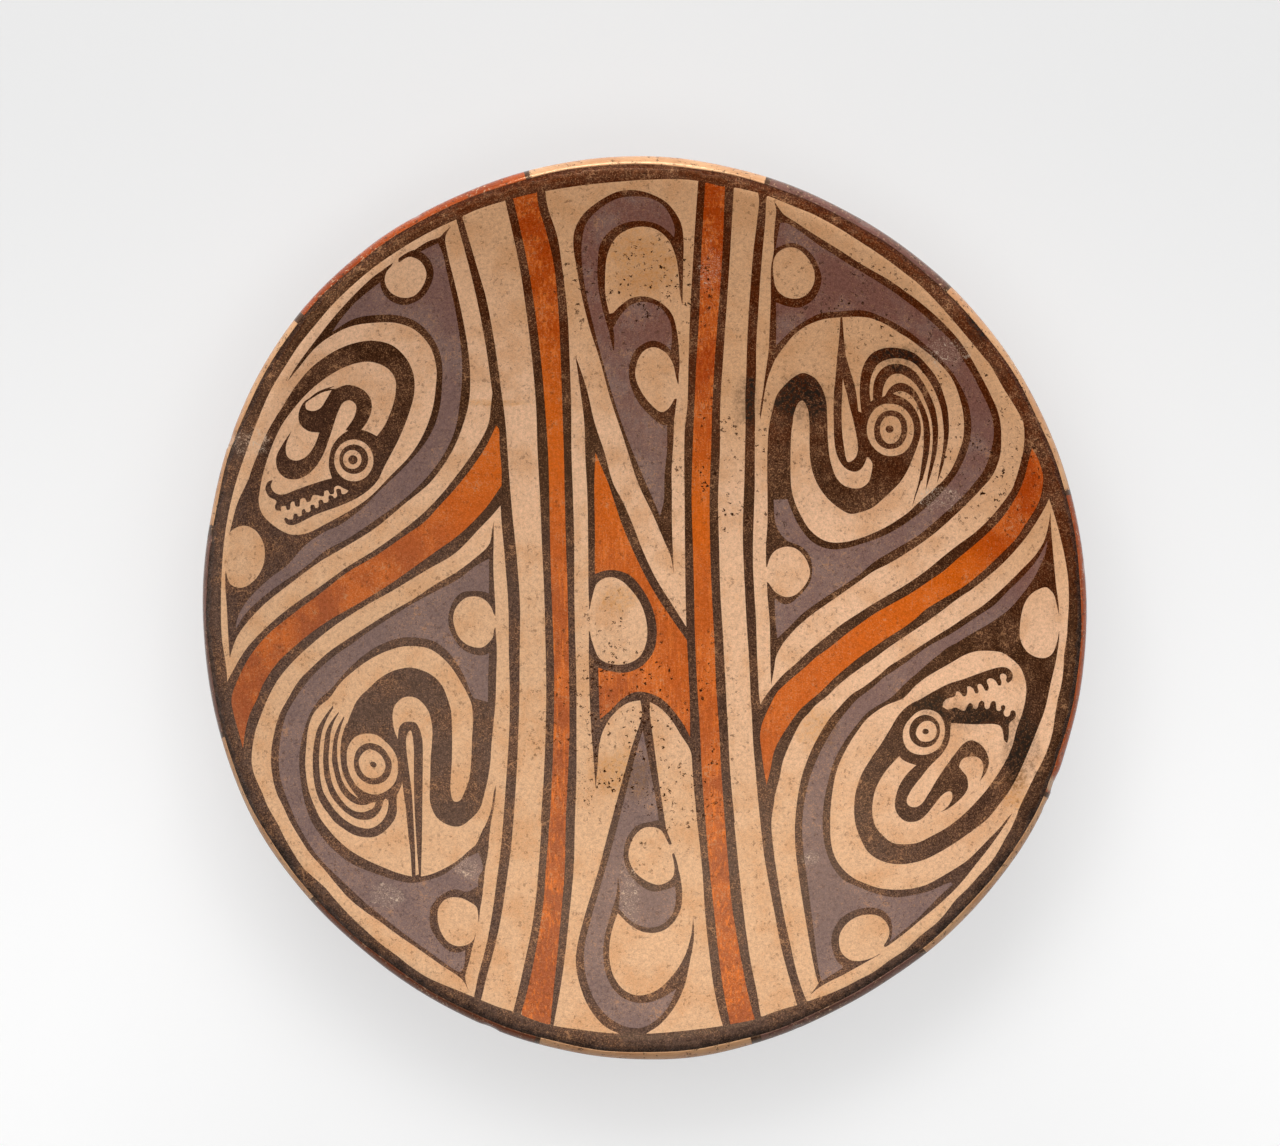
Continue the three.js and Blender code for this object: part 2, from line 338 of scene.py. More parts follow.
# Hook, drop and spear at the top
blob(BLACK, 12.8, 97.6, K, 13, 107, 13.1, 113, 13.2, 118, 12.7, 123, 11.4, 126.4, 7.8, 131, 3, 133.7,
     -2, 135, -8, 134.6, -14.2, 131.5, -19.6, 127, -22.2, 122, -22.6, 117, -21.4, 109, -19.6, 99.5,
     -17.2, 90, -14, 80, -10.6, 67.5, -6.5, 55.1, -1.6, 40, 3.2, 29.8, 7.2, 20.5, 8.9, 16.5, 10, 10.4, K,
     9.7, 18, 9.4, 27, 9.4, 36, 9.3, 44, 9.9, 54, 10.2, 63, 10.6, 70, 11.8, 77, 11.7, 83, 11, 89.5,
     9.5, 94.7, 6.4, 98.2, 1.5, 100.5, -3.5, 100.2, -7.2, 97.8, -10.7, 94.3, K, -12.1, 100.4, -12.3, 107,
     -11.5, 114.3, -8.8, 119.6, -5, 122.2, -0.4, 123.2, 4.2, 122.3, 8.2, 119, 10.6, 113.6, 11.6, 107.5,
     11.9, 102.5)
blob(PURPLE, 10.1, 119.8, K, 10.3, 122.5, 9.4, 125.6, 6.8, 129.9, 2.5, 132.4, -2.5, 133, -8.5, 132.2,
     -14, 129, -18.2, 124.6, -19.8, 118.5, -19.7, 110, -18.1, 99.8, -15.8, 90, -13.2, 80, -9.4, 67,
     -5.3, 55.1, -0.4, 43.2, 3.4, 34.5, 5.5, 29.4, K, 6.7, 34, 7, 43, 7.8, 51, 7.8, 60, 8.6, 80, 9.4, 87,
     8.7, 92.6, 5.6, 97, 1, 98.8, -3.4, 98.1, -7, 94.9, -9.9, 90, K, -11.3, 90, K, -13.4, 97.5, -14.7, 105,
     -14.7, 112, -13.7, 118, -10.2, 122.2, -5.4, 124.5, -0.4, 125.1, 4.6, 124.1, 8, 121.9)
ribbon(BLACK, (-11.2, 95, 2.6), (-10.6, 91, 1.6), (-10, 87.5, 1.5), (-9.5, 83.2, 0.3))
blob(BLACK, 2.8, 86.3, 7.4, 84.8, 10.6, 80.5, 11.6, 75, 10.8, 66, 9.6, 60, 6.8, 58.8, 1.3, 62.9, -2.4, 67.8,
     -4.4, 73.5, -4.4, 78.5, -2.2, 83.5)
blob(CREAM, 3.6, 84.2, 7.6, 82.2, 9.8, 78.6, 10.7, 74.6, 11.2, 72.6, K, 12.6, 72, K, 12.6, 68, K,
     10.2, 67.4, K, 8.4, 64.4, 6, 63.1, 2.4, 65.8, -1, 70.6, -2.5, 75, -1.8, 79.6, 0.3, 83)
# Wedge of orange with its disc
blob(BLACK, -21.9, 81.2, K, -20.4, 70.5, -19.1, 60, -18.7, 48, -18.1, 37, -17.8, 20, -17.7, 6, -17.4, -4,
     -17.6, -14, -17.4, -26, -16.9, -38, -16.2, -48, -15.4, -59, K, -14.7, -52, -14.2, -45, -12.6, -39.6,
     -9.4, -34.8, -5, -31.4, 0.2, -30.6, 4.4, -32.2, 8.5, -35.9, 12, -41.3, 15.4, -46.9, 16.2, -52, K,
     17.5, -46, K, 15.8, -20, K, 15.4, -5, K, 14.1, -6.7, K, 10, -0.2, 4.2, 9.1, 0, 18, -3.3, 26.5,
     -6.5, 33.9, -9.7, 40, -12.5, 50, -15.8, 60, -18.1, 70, -20.4, 77.2)
blob(ORANGE, -15.4, 49.8, K, -15.8, 40, -15.6, 25, -15.6, 10, -15, -5, -14.6, -18, -14.3, -28,
     -14, -36.6, K, -10.6, -33.8, -7, -30.2, -3, -27.9, 1, -27.9, 6, -30, 10, -34, 13.2, -38.4,
     15.3, -42.4, K, 15.2, -30, 14.7, -20, 14.6, -11.5, K, 10, -5, 5.4, 1.8, 1, 9.3, -3.2, 18, -6.8, 26.5,
     -9.1, 33.3, -11.2, 39.7, -13.2, 44.6)
blob(BLACK, -12, 11.7, -7.6, 11.5, -3.6, 9.6, 0.6, 4.4, 3.4, -1.6, 4.5, -8.6, 3.3, -14.9, -0.6, -19.5,
     -5.6, -21.5, -11.2, -20.9, -15.2, -19.6, K, -17.6, -14, K, -17.5, 2, K, -17, 10, K)
blob(CREAM, -11, 9.5, -7.4, 8.6, -3.8, 5.3, -0.6, 0.6, 1.2, -5.5, 1.1, -11.5, -1.2, -16.4, -5.6, -18.7,
     -10.6, -18.6, -14.1, -16.9, -16.3, -12, -17.4, -7.9, K, -18.6, -7.4, K, -18.6, -1.4, K, -17.3, -0.9, K,
     -16.5, 2.8, -14.8, 7.6)
# Drop and hook at the bottom
blob(BLACK, -1, -29.6, K, 2.4, -29.6, K, 2.2, -34, 3.4, -43.5, 5, -55.5, 6.5, -65.5, 7.6, -72.3, 9, -77.5,
     10.4, -82.2, 11.8, -86.4, 12.7, -92.5, 12.2, -98.2, 9.4, -103.1, 5.4, -105.6, 0.4, -105.7, -4, -103.5,
     -8.2, -99.5, K, -9.6, -103.5, -10.8, -109, -10.8, -115, -9.3, -120.4, -5.8, -124.7, -1, -126.2,
     4.4, -124.6, 9.5, -119.9, 13.4, -113.8, 15.6, -106.8, 16.3, -101, K, 16.6, -107, 15.3, -114.9,
     13.2, -124, 9.6, -131, 5, -136.1, 0.6, -138.8, K, 0, -141, K, -8, -141, K, -7, -139, K, -12.6, -136.1,
     -17.5, -130.2, -20.6, -122.5, -21.8, -115.5, -21.1, -109, -18.4, -98.6, -14.7, -86.5, -10.9, -72,
     -7.1, -58, -3.6, -45.5, -0.4, -35.2)
blob(PURPLE, -0.1, -40.4, K, -2.7, -49.3, -6.2, -63.2, -10, -77.7, -13.2, -88.7, -16.9, -101.5, -19, -110.8,
     -18.8, -118.4, -16.1, -127, -11.4, -133.1, -5.6, -136.3, -0.6, -136.7, 4.2, -134.3, 8.2, -129.9,
     10.8, -124.2, K, 6.6, -126.8, 2, -128.5, -3, -128.4, -8, -125.9, -11.6, -120.5, -12.9, -113.5,
     -12.5, -107.5, -11, -101.8, -9.4, -96.6, K, -7.6, -98.3, -3.9, -102, 1, -104.1, 5.8, -103.4, 9.4, -100,
     10.7, -94.5, 10.2, -90, K, 6, -80, K, 5.2, -70, K, 4, -62, 2, -51)
ribbon(BLACK, (-9.2, -99, 2.2), (-8.4, -96, 1.5), (-8, -92, 0.9), (-8.1, -88, 0.2))
blob(BLACK, 2.5, -69.9, 5.4, -69.6, 8, -73.5, 10, -79.5, 11.6, -86, 11, -90.6, K, 7, -92, 3.2, -92.5,
     -1.6, -90, -5, -85.9, -6.3, -80.5, -5.2, -75.2, -2, -71.2)
blob(CREAM, 2.8, -71.6, 5.8, -72.6, 7.6, -75.6, 8.4, -77.3, K, 9.9, -77.3, K, 10.4, -79.8, K, 9.4, -80.3, K,
     10.2, -85, 9.4, -88.2, 5.4, -90.3, 0.6, -88.8, -3.2, -85.3, -4.7, -80.8, -3.2, -75.2, -0.2, -72.1)
# The black lines beside the orange stripes
strip(BLACK, (132.5, -44.9, -42.2), (125, -43.2, -40.4), (110, -40, -37.2), (95, -37.8, -34.9),
      (80, -36, -33.1), (65, -34.7, -31.8), (50, -34.2, -30.8), (35, -33.4, -30.4), (20, -32.8, -30.1),
      (5, -32.1, -29.7), (-10, -31.7, -29.1), (-25, -31.4, -28.8), (-40, -31.6, -29), (-55, -32.2, -29.5),
      (-70, -33.2, -30.4))
strip(BLACK, (136, -34.6, -31.9), (130, -33.9, -31), (120, -31, -27.8), (110, -28.8, -26.2),
      (95, -27.4, -24.5), (80, -26.7, -23.8), (65, -26.2, -23.3), (50, -25.7, -23.2), (35, -25.4, -22.7),
      (20, -25, -22.3), (5, -24.5, -22.3), (-10, -24.2, -22), (-25, -24, -21.6), (-40, -23.9, -21.6),
      (-55, -24.4, -21.6), (-70, -25.1, -22.1), (-85, -25.4, -22.5), (-100, -26.6, -23.9),
      (-115, -28, -25.5), (-125, -29.1, -27), (-137, -30.2, -29.2))
strip(BLACK, (139, 18, 20.3), (125, 17, 19.5), (110, 16.1, 18.7), (95, 15.3, 18.3), (80, 14.8, 17.4),
      (65, 14.4, 16.7), (58, 13.6, 16.4), (50, 13.4, 16.1), (35, 13.5, 15.8), (20, 13.6, 16.2),
      (5, 13.8, 16.6), (-10, 14.2, 16.9), (-25, 15, 17.6), (-40, 15.4, 18.5), (-55, 16.2, 19.2),
      (-70, 17.6, 20.3), (-85, 19.2, 21.6), (-100, 20.2, 23.2), (-115, 21.8, 24.8), (-125, 23.2, 26.2),
      (-133, 25, 27.8), (-137, 26.2, 28.6))
strip(BLACK, (138, 26.6, 29.6), (125, 26.2, 28.9), (110, 25.5, 28), (95, 24.4, 27), (80, 23.3, 26),
      (65, 22.5, 25.1), (50, 22.1, 25), (35, 21.6, 24.4), (20, 21.8, 24.7), (5, 22.3, 25.1),
      (-10, 23.1, 26), (-25, 23.7, 26.8), (-40, 24.7, 27.6), (-55, 25.5, 28.4), (-70, 26.8, 29.8))

# Left of the middle: the long lines and the orange band
# The outermost long line, and the lower end of the next one
strip(BLACK, (127, -61, -58.8), (110, -56.4, -53.8), (100, -54, -50.9), (85, -51.1, -48.1), (70, -49, -46),
      (60, -47.4, -44.7), (45, -46.3, -43.6), (30, -46.1, -42.4), (15, -44.8, -40.9), (0, -43.7, -39.9),
      (-15, -43.5, -40), (-30, -43.2, -40.1), (-40, -43.4, -40.4), (-50, -44, -40.8), (-60, -44.7, -41.4),
      (-70, -45.4, -42.1), (-80, -46.3, -43), (-90, -47.6, -44.4), (-100, -49, -45.9), (-110, -50.9, -48),
      (-120, -53.5, -50.7), (-128, -55.2, -52.7), (-131, -56.5, -54))
strip(BLACK, (-55, -32.2, -29.5), (-65, -32.6, -30), (-75, -33.2, -30.7), (-85, -33.9, -31.5),
      (-95, -34.8, -32.2), (-105, -36.2, -33.6), (-115, -38.3, -35.4), (-125, -40.5, -37.6),
      (-133, -42.5, -39.8), (-137, -43.5, -41))
# Diagonal band of orange
blob(BLACK, -46.4, 68, K, -48.9, 69, K, -49.4, 65, -50, 60, -51.3, 56.5, -55.1, 50, -60, 43.2, -66.7, 35,
     -72.2, 29.5, -78, 24.8, -87, 18.4, -95.9, 12.9, -105.2, 6.2, -114.5, -0.2, -122.6, -7.1, -129, -14.1,
     -133.4, -21.6, -135.5, -25.5, K, -139, -30, K, -133, -60, K, -123.8, -60, K, -124.9, -57.5, -126, -55,
     -126.9, -51, -126.8, -47, -125.6, -40, -123.8, -35, -121.8, -30, -118.6, -24, -113.9, -18.2,
     -108.1, -12.7, -100.6, -6.6, -91.3, -0.5, -81.5, 5, -70.4, 11.7, -61.1, 17.2, -53, 25.4, -48.4, 30.2,
     -46.3, 32.7, K, -43.4, 34, K)
blob(ORANGE, -47.7, 58.7, K, -50.7, 52.4, -54.8, 46.1, -60, 39.4, -65.8, 33, -71, 27.4, -78, 22.5,
     -87, 16.3, -95.9, 11.1, -105.2, 3.9, -114.5, -3.1, -121.5, -8.9, -127.3, -15.8, -131.3, -23.4,
     -133.5, -30, -132.8, -35, -131.4, -40, -129.8, -46, K, -128.9, -40, -127.6, -35, -125.2, -30,
     -123.2, -25.1, -118.6, -18.2, -112.8, -12.7, -107, -8, -100.6, -3.7, -91.3, 1.6, -81.5, 7.7,
     -73.3, 13.5, -66.9, 18.1, -61.1, 22.2, -55.9, 26.8, -50.7, 32.4, -45.9, 39.2, K, -45.9, 43.7,
     -46.6, 53, -46.8, 57.7)

# Lower left: a bird's head with a ringed crest and a long beak that points down
blob(BLACK, -48.5, 27.7, K, -49, 24.8, -50, 20.1, -54.8, 15.5, -60.6, 11.1, -67.5, 7.1, -74.5, 2.4,
     -83.2, -2.5, -89, -6.2, -95.9, -10.6, -102.3, -15, -107, -19.3, -111.6, -24, -115.1, -29.8,
     -117.9, -35, -119.4, -40, -120.6, -47, -120.5, -53, -119.1, -60, -116.8, -65, -114.5, -70, -111.5, -75,
     -108.2, -80, -103.8, -85, -99.7, -90, -95.2, -95, -89.8, -99.3, -85, -102.6, -80, -106.4, -75, -109.9,
     -70, -113.4, -65, -116.9, -60, -120.1, -58.2, -121.8, -56.7, -124.7, K, -57.5, -121.8, -57.7, -120.1,
     -56.4, -115, -55.2, -110, -54.2, -106.2, -53.3, -102, -52.8, -98, -52.3, -95, -51.7, -90, -51.2, -85,
     -50.2, -79, -49.9, -75, -49.3, -70, -48.4, -65, -47.8, -60, -47.7, -58, K, -48.4, -60, -49.1, -65,
     -50.7, -70, -52.7, -74, -54.2, -77.2, K, -65, -80, K, -65, -66, K, -53, -64.5, K, -51.3, -60,
     -50.2, -55, -49.5, -50, -49.2, -45, -48.7, -40, -48.2, -35, -47.8, -30, -47.6, -22.2, -47.4, -16.4,
     -47.5, -11.8, -47.8, -7.7, -47.9, 0, -48.2, 5, -48.5, 10, -48.6, 14.9, -48.5, 20.7)
blob(PURPLE, -50, 15.5, K, -54.2, 13.2, -60, 8.8, -67.5, 4.8, -75.1, 0.7, -83.8, -4.8, -89, -8.2,
     -94.8, -12.4, -100.6, -16.4, -106.4, -21.6, -111, -27.2, -113.5, -31, -115.7, -35, -117.1, -40,
     -117.9, -45, -118.2, -50, -117.8, -55, -116.4, -60, -114.5, -65, -112.4, -70, -109.6, -75, -106.4, -80,
     -102, -85, -98.8, -88, -95.9, -90.8, -93, -93.5, -89.4, -96.8, -85, -100.3, -80, -104.4, -75, -108.2,
     -70, -111.8, -65, -115.4, -60, -118.6, -59.1, -118.6, K, -58.2, -117.2, -57.7, -112, K, -56, -105, K,
     -53.5, -91.6, K, -53.4, -88, -51.9, -85, -53.3, -80.1, K, -54.5, -70, K, -54, -40, K, -54.8, -29.8, K,
     -50.3, -31, K, -50.2, -22, -50, -15.8, -50, 10)
blob(BLACK, -49.5, 4, -52.4, 4.9, -55.6, 5, -58.8, 4.5, -61.1, 2.4, -62.6, -0.8, -63.2, -4.2, -62.6, -7.7,
     -60.9, -11.2, -58.2, -14.1, -54.8, -15.6, -51.3, -15.8, -48.5, -14, K, -48.5, 3, K)
blob(CREAM, -55.6, 3.2, -53, 3, -50.7, 1.6, -49, -0.8, -48.1, -3, -46.5, -3, K, -46.5, -6.5, K, -48.2, -7.2,
     -48.7, -10, -51.9, -13.2, -54.8, -13.2, -57.4, -12.2, -59.7, -10, -61, -7.1, -61.6, -3.7, -60.9, -0.8,
     -59.1, 1.6, -57.4, 2.8)
# Outline of the big oval, then its cream ground
blob(BLACK, -104.9, -30, -101.7, -27.2, -96.5, -21.2, -90.7, -15.9, -85.5, -12.6, -80, -10.5, -75.1, -10,
     -67.5, -11.5, -62.3, -15.8, -58.2, -22.2, -54.8, -29.8, -50, -33, K, -50, -50, K, -52, -62, K,
     -51.5, -70, K, -52.5, -79.5, K, -54.2, -80.2, -57.7, -81.9, -61.7, -85, -65, -87.2, -70, -88.9,
     -75, -89.8, -80, -89, -85, -87.4, -89, -86, -94.8, -83.4, -100, -79.4, -104.1, -75, -107.5, -70,
     -109.4, -65, -110.6, -60, -111.3, -55, -111.6, -50, -111.1, -45, -109.9, -40, -108.1, -35)
blob(CREAM, -102, -30, -97.7, -24.3, -91.3, -19, -86.1, -15.8, -79.7, -13.4, -75.7, -12.9, -69.3, -13.8,
     -63.5, -18.2, -58.8, -25.1, -56.5, -29.5, -55.6, -31.9, -55.3, -35, -55.3, -40, -55.8, -50,
     -56.5, -56.3, -58.2, -60.8, K, -51.3, -60, K, -51.8, -62, -50.5, -65, -51.4, -71, K, -52.7, -74,
     -54.2, -77.2, -56.5, -79.2, -60, -82.3, -65, -85.3, -70, -87.3, -74.5, -87.7, -80, -86.4, -85, -84.4,
     -89.5, -82.4, -95, -79.2, -97.7, -77, -100, -74.8, -102.6, -71.7, -104.9, -68.5, -107, -63.8,
     -108.4, -60, -109.3, -55, -109.6, -50, -109.2, -45, -108.7, -40, -107, -35, -104.4, -31.9)
# Neck that goes down and turns up into the outline
blob(BLACK, -96.6, -40, K, -95.9, -37.7, -94.8, -34.8, -93.3, -31.3, -91.6, -29, -89, -26.6, -85.5, -23.4,
     -81, -20.9, -75.1, -19.9, -68.7, -22.2, -65.3, -25.6, -63.5, -29.8, -62.4, -33.6, -62, -40, -62.1, -50,
     -62.5, -60, -61.7, -63, -60.7, -63.5, -59.4, -63, -58.2, -60.8, -56.5, -56.3, -55.8, -50, -55.3, -40,
     -54, -33, K, -48.2, -35, K, -48.7, -40, -49.2, -45, -49.5, -50, -50.2, -55, -51.3, -60, -52.7, -65,
     -53.9, -67, -55.9, -69, -58.2, -70.8, -60, -71.5, -62.9, -71.1, -65, -70.1, -67, -68.5, -68.4, -66.1,
     -69.2, -63.2, -69.3, -60, -69.1, -55, -69, -50, -68.6, -45, -68.4, -40, -69, -36, -70, -33.4,
     -71.6, -31.3, -73.3, -29.9, -75.4, -29.3, -77.4, -29.5, -79.1, -30.5, -80.6, -32.2, -81.3, -34.8,
     -81.2, -37.7, -80.6, -40.6, -79.5, -43.2, K, -86, -50, K)
# Head: rings of the crest
blob(BLACK, -100.6, -32.1, K, -103.5, -36, -105.7, -40, -106.8, -45, -107.2, -50, -107, -55, -106.1, -60,
     -104.6, -63.8, -102, -67.5, -100, -70, -97.1, -72.2, -93.9, -74.1, -90, -75, -86.7, -74.7,
     -84.4, -73.4, -82.3, -71.4, -80.6, -69, -79.9, -66.7, -79.9, -65, -79.9, -61.5, -79.1, -59.8,
     -78.1, -57.3, K, -76, -50, K, -77, -42, K, -79.4, -43.2, K, -84, -38, K, -96.4, -38, K, -97, -35.7, K,
     -98.2, -36.5, K, -98.8, -34.3, K, -100.2, -35.5, K)
blob(CREAM, -100.2, -32.5, K, -102.3, -36, -103.9, -40, -104.8, -45, -105.1, -50, -104.8, -55, -103.8, -60,
     -102, -63.2, -100, -66.1, -97.7, -68.5, -94.9, -70.5, -92, -71.7, -89, -72.1, -87, -71.5, -84.9, -69.9,
     -83.5, -67.9, -82.7, -65, -82.7, -63.2, -83.5, -62.4, -84.2, -63.2, -84.7, -65, -85.8, -67,
     -87.3, -68.5, -89, -69.2, -91, -69.3, -93, -68.9, -95.9, -67.3, -98.5, -65, -101.2, -61.5, -102.6, -58,
     -103.4, -55, -103.8, -50, -103.5, -45, -102.8, -40.6, -101.4, -37.7, -98.9, -34.3, K)
blob(CREAM, -98.7, -34.6, K, -100.3, -37.7, -101.2, -40.6, -101.7, -45, -102, -50, -101.4, -55, -100.6, -58,
     -98.8, -61.5, -96.5, -64.4, -93.9, -66.3, -91.3, -66.8, -89, -66.2, -87.5, -65.3, -86.7, -63.6, K,
     -87.6, -63.6, -89.5, -64.3, -91.9, -64.5, -93.9, -63.8, -95.9, -62.4, -98, -60, -99.4, -56.9,
     -100.3, -53.4, -100.9, -50, -100.6, -45, -100.1, -42.1, -98.8, -38.6, -97.1, -35.7, K)
blob(CREAM, -96.9, -36, K, -97.7, -38.3, -98.7, -41.8, -99.2, -45, -99.1, -50, -98.5, -53.4, -97.4, -56.9,
     -95.4, -60, -92.2, -62.5, K, -93.9, -60.3, -95.9, -57.4, -97.4, -54, -98.1, -50, -98.1, -45.8,
     -97.7, -42.3, -96.6, -38.8, -95.4, -35.5, K)
# Eye
blob(CREAM, -96.1, -50, -95.9, -46.4, -94.5, -43.5, -92.5, -41.9, -89.5, -41.3, -86.7, -41.7, -84.4, -43.2,
     -82, -45.5, -80.3, -48.1, -79.5, -51.1, -79.6, -54, -80.4, -56.9, -82, -58.9, -84.1, -60.3, -86.4, -61,
     -89, -60.7, -92.5, -58.6, -94.5, -55.7, -95.6, -53.1)
blob(BLACK, -89, -44.3, -86.7, -44.7, -84.6, -45.8, -82.9, -47.9, -81.7, -50.2, -81.6, -52.8, -82.6, -55.4,
     -84.1, -56.9, -86.4, -57.7, -89, -57.6, -92, -55.7, -93.5, -53.1, -93.8, -50, -93, -47, -91.4, -45.2)
blob(CREAM, -89, -46.4, -87, -46.9, -85.2, -48.1, -83.9, -50.2, -83.6, -52.2, -84.4, -54.2, -85.8, -55.4,
     -87.8, -55.8, -89.2, -55.5, -90.9, -54.2, -91.9, -52.2, -92.2, -50, -91.1, -47.8)
oval(BLACK, -87.5, -51.3, 2.3, 1.8, -30)
# Beak lines
blob(BLACK, -79.5, -43.5, K, -79.5, -41.2, -79.1, -39.2, -77.7, -37.7, -75.7, -37.4, -73.8, -37.8,
     -72.6, -39.7, -71.7, -42.9, -71.5, -46.4, -71.6, -60, -71.7, -69.6, -71.8, -77.2, -72.1, -87.8, K,
     -75, -88, K, -75.5, -80, -76.1, -75, -76.6, -70, -77.1, -65, -77.6, -61.5, -78.1, -57.4, K,
     -79.6, -52, K)
blob(CREAM, -75.4, -40.3, -74.8, -42.3, -74.4, -46.4, -74.4, -53.4, -74.2, -65, -73.3, -80, -72.8, -87, K,
     -73.8, -87.3, K, -74, -80, -74.5, -70, -75.1, -60, -76.1, -52.2, -76.8, -46.4, -76.9, -42.9,
     -76.2, -40.8)
# Low disc
blob(BLACK, -53.3, -91, -57, -92.6, -60.9, -91.8, -64, -92.8, -67, -95.1, -69, -98, -69.3, -100.9,
     -69, -104.4, -67.5, -107.3, -65.2, -110.2, -62.9, -112, -60, -112.5, -57.7, -111.7, -55.3, -110, K,
     -54.4, -106, K, -53, -100, K)
blob(CREAM, -61.4, -94.4, -58.6, -94.8, -56, -96.1, -54.1, -97.5, -53.6, -99.5, -53.4, -104.4, K,
     -52.5, -104.5, K, -53.5, -106.4, K, -54.3, -106, K, -55.2, -108.5, -58, -110.2, -61.1, -110.2,
     -63.8, -108.6, -65.8, -105.4, -66.7, -101.5, -66.5, -98.3, -65, -95.8, -63.2, -94.7)

# Right of the middle: the long line as far down as the orange band
strip(BLACK, (137, 36, 41.5), (133, 37.6, 40.2), (125, 37, 39.7), (115, 35.8, 38.8), (105, 35, 38),
      (95, 34.3, 37.4), (85, 33.8, 36.8), (75, 33.5, 36.7), (67, 33.2, 36.3), (60, 33.3, 36.4),
      (50, 33.1, 36.3), (40, 32.9, 36.3), (30, 32.5, 36), (22, 32.4, 35.7), (13, 32.7, 35.7),
      (5, 33.1, 36.1), (-5, 33.6, 36.7), (-15, 34.3, 37), (-25, 34.8, 37.5), (-31, 35, 37.7))

# Upper right: a bird's head with a ringed crest and a long beak that points up
blob(BLACK, 42.6, 131.5, K, 44.2, 129.1, 45.8, 127.2, 50, 124.5, 55, 121.2, 60, 118.1, 65, 115, 70, 111.7,
     75, 108.8, 80, 105.9, 85, 102.4, 89, 99.5, 95, 94.5, 100.5, 89, 105, 83.2, 107.7, 78.6, 111.2, 72.2,
     113.5, 67.5, 115, 64, 116, 60, 116.3, 55, 115.9, 48.9, 113.5, 42.6, 110, 38.4, 106.6, 34.8,
     101.9, 30.2, 95, 24, 89, 19.6, 80, 14, 75, 11.5, 70, 8, 60, 1, 55, -2.5, 50.5, -6.3, 47, -10,
     44.7, -13.2, 43.2, -16.4, 42.6, -20, 41.6, -25.7, K, 41.4, -20, 41.3, -15, 41.1, -5, 40.5, 2, 40.1, 10,
     39.9, 15, 39.9, 20, 40.4, 27, 40.4, 50, 41, 58.2, 42.1, 64, 43.5, 68.7, K, 48, 72, K, 48, 78, K,
     43, 80.5, K, 41.5, 76.8, 40.3, 73.3, 39.5, 69.4, 38.8, 64.6, 37.9, 60, K, 38.2, 65, 38.9, 69.3,
     39.4, 73.3, 40, 77.4, 40.6, 81.5, 40.9, 85, 41.2, 92.3, 41.5, 100, 41.6, 110, 42.5, 115.5, 42.5, 120,
     42.9, 125, 43.2, 128.8)
blob(PURPLE, 44.6, 124.5, K, 46.4, 124.5, 50, 122.5, 54, 119.6, 58, 116.7, 61.5, 114.6, 65, 112.3,
     70, 109.2, 75, 106.2, 80, 103, 85, 99.4, 89, 96.4, 94, 92.2, 97.9, 88.5, 100.2, 86, 102.5, 82.6,
     104.8, 78.8, 107.1, 75.1, 109.2, 71, 111.2, 66.9, 112.7, 63.5, 113.6, 60, 113.9, 56.5, 113.5, 53,
     112.7, 49.7, 111.5, 46.1, 110, 43.2, 107.8, 40.4, 105, 37, 101.9, 33.9, 97.6, 30, 93, 26, 89, 22.8,
     85, 20.4, 80, 17.5, 75, 14.4, 70, 10.2, 66.7, 7.9, 60, 3.5, 55, 0.1, 51.6, -2.5, 47, -7.1,
     43.6, -10.3, K, 43, -5, 42.7, 2, K, 46, 10, K, 47, 18, K, 47, 21, K, 44.5, 23.8, 43, 27.1,
     42.4, 34.6, K, 46.9, 34.8, K, 60, 50, K, 60, 85, K, 43.2, 84.5, K, 43.3, 93, 43.2, 99, K, 47, 105, K,
     43, 116, K, 43.7, 120)
# Discs at the left
blob(BLACK, 42.8, 116.2, K, 45.8, 117.5, 48.2, 118.1, 51, 117.4, 53.7, 115.5, 55.7, 113.2, 57.1, 110.3,
     58, 107.4, 57.9, 105.1, 57.1, 102.4, 55.7, 100.1, 53.7, 98.4, 51, 97.1, 48.2, 97.2, 45.8, 97.8,
     42.5, 99, K, 42, 107, K)
blob(CREAM, 44.1, 115.2, 46.4, 116.4, 48.2, 116.7, 50.5, 116, 52.8, 114.1, 54.5, 111.7, 55.6, 109.1,
     55.8, 106.5, 55.1, 103.9, 53.7, 101.9, 51.6, 100.4, 49.3, 100, 47, 100.3, 44.7, 101.6, 43.2, 103.5,
     42.5, 106.5, 42.2, 110, 42.7, 113.2)
blob(BLACK, 41, 20, K, 45, 22, K, 48.2, 20.7, 51, 19.6, 53.4, 17.5, 54.6, 14.9, 54.9, 11.4, 54.2, 7.9,
     52.2, 5, 49.9, 2.7, 48.2, 1.2, 45.8, 0.7, 43.5, 1.9, 42, 4, K, 41, 10, K)
blob(CREAM, 44, 18.7, 47, 19.4, 49.8, 18.6, 52, 16.6, 53.5, 14, 54.2, 10.9, 53.3, 8, 51.5, 5.6, 49.5, 3.8,
     47, 3, 44.6, 3.6, 42.5, 5.1, 40.9, 7.4, 40, 8.2, K, 39, 8.2, K, 39, 12.8, K, 40.2, 12.6, K, 41, 15.3,
     42.2, 17.4)
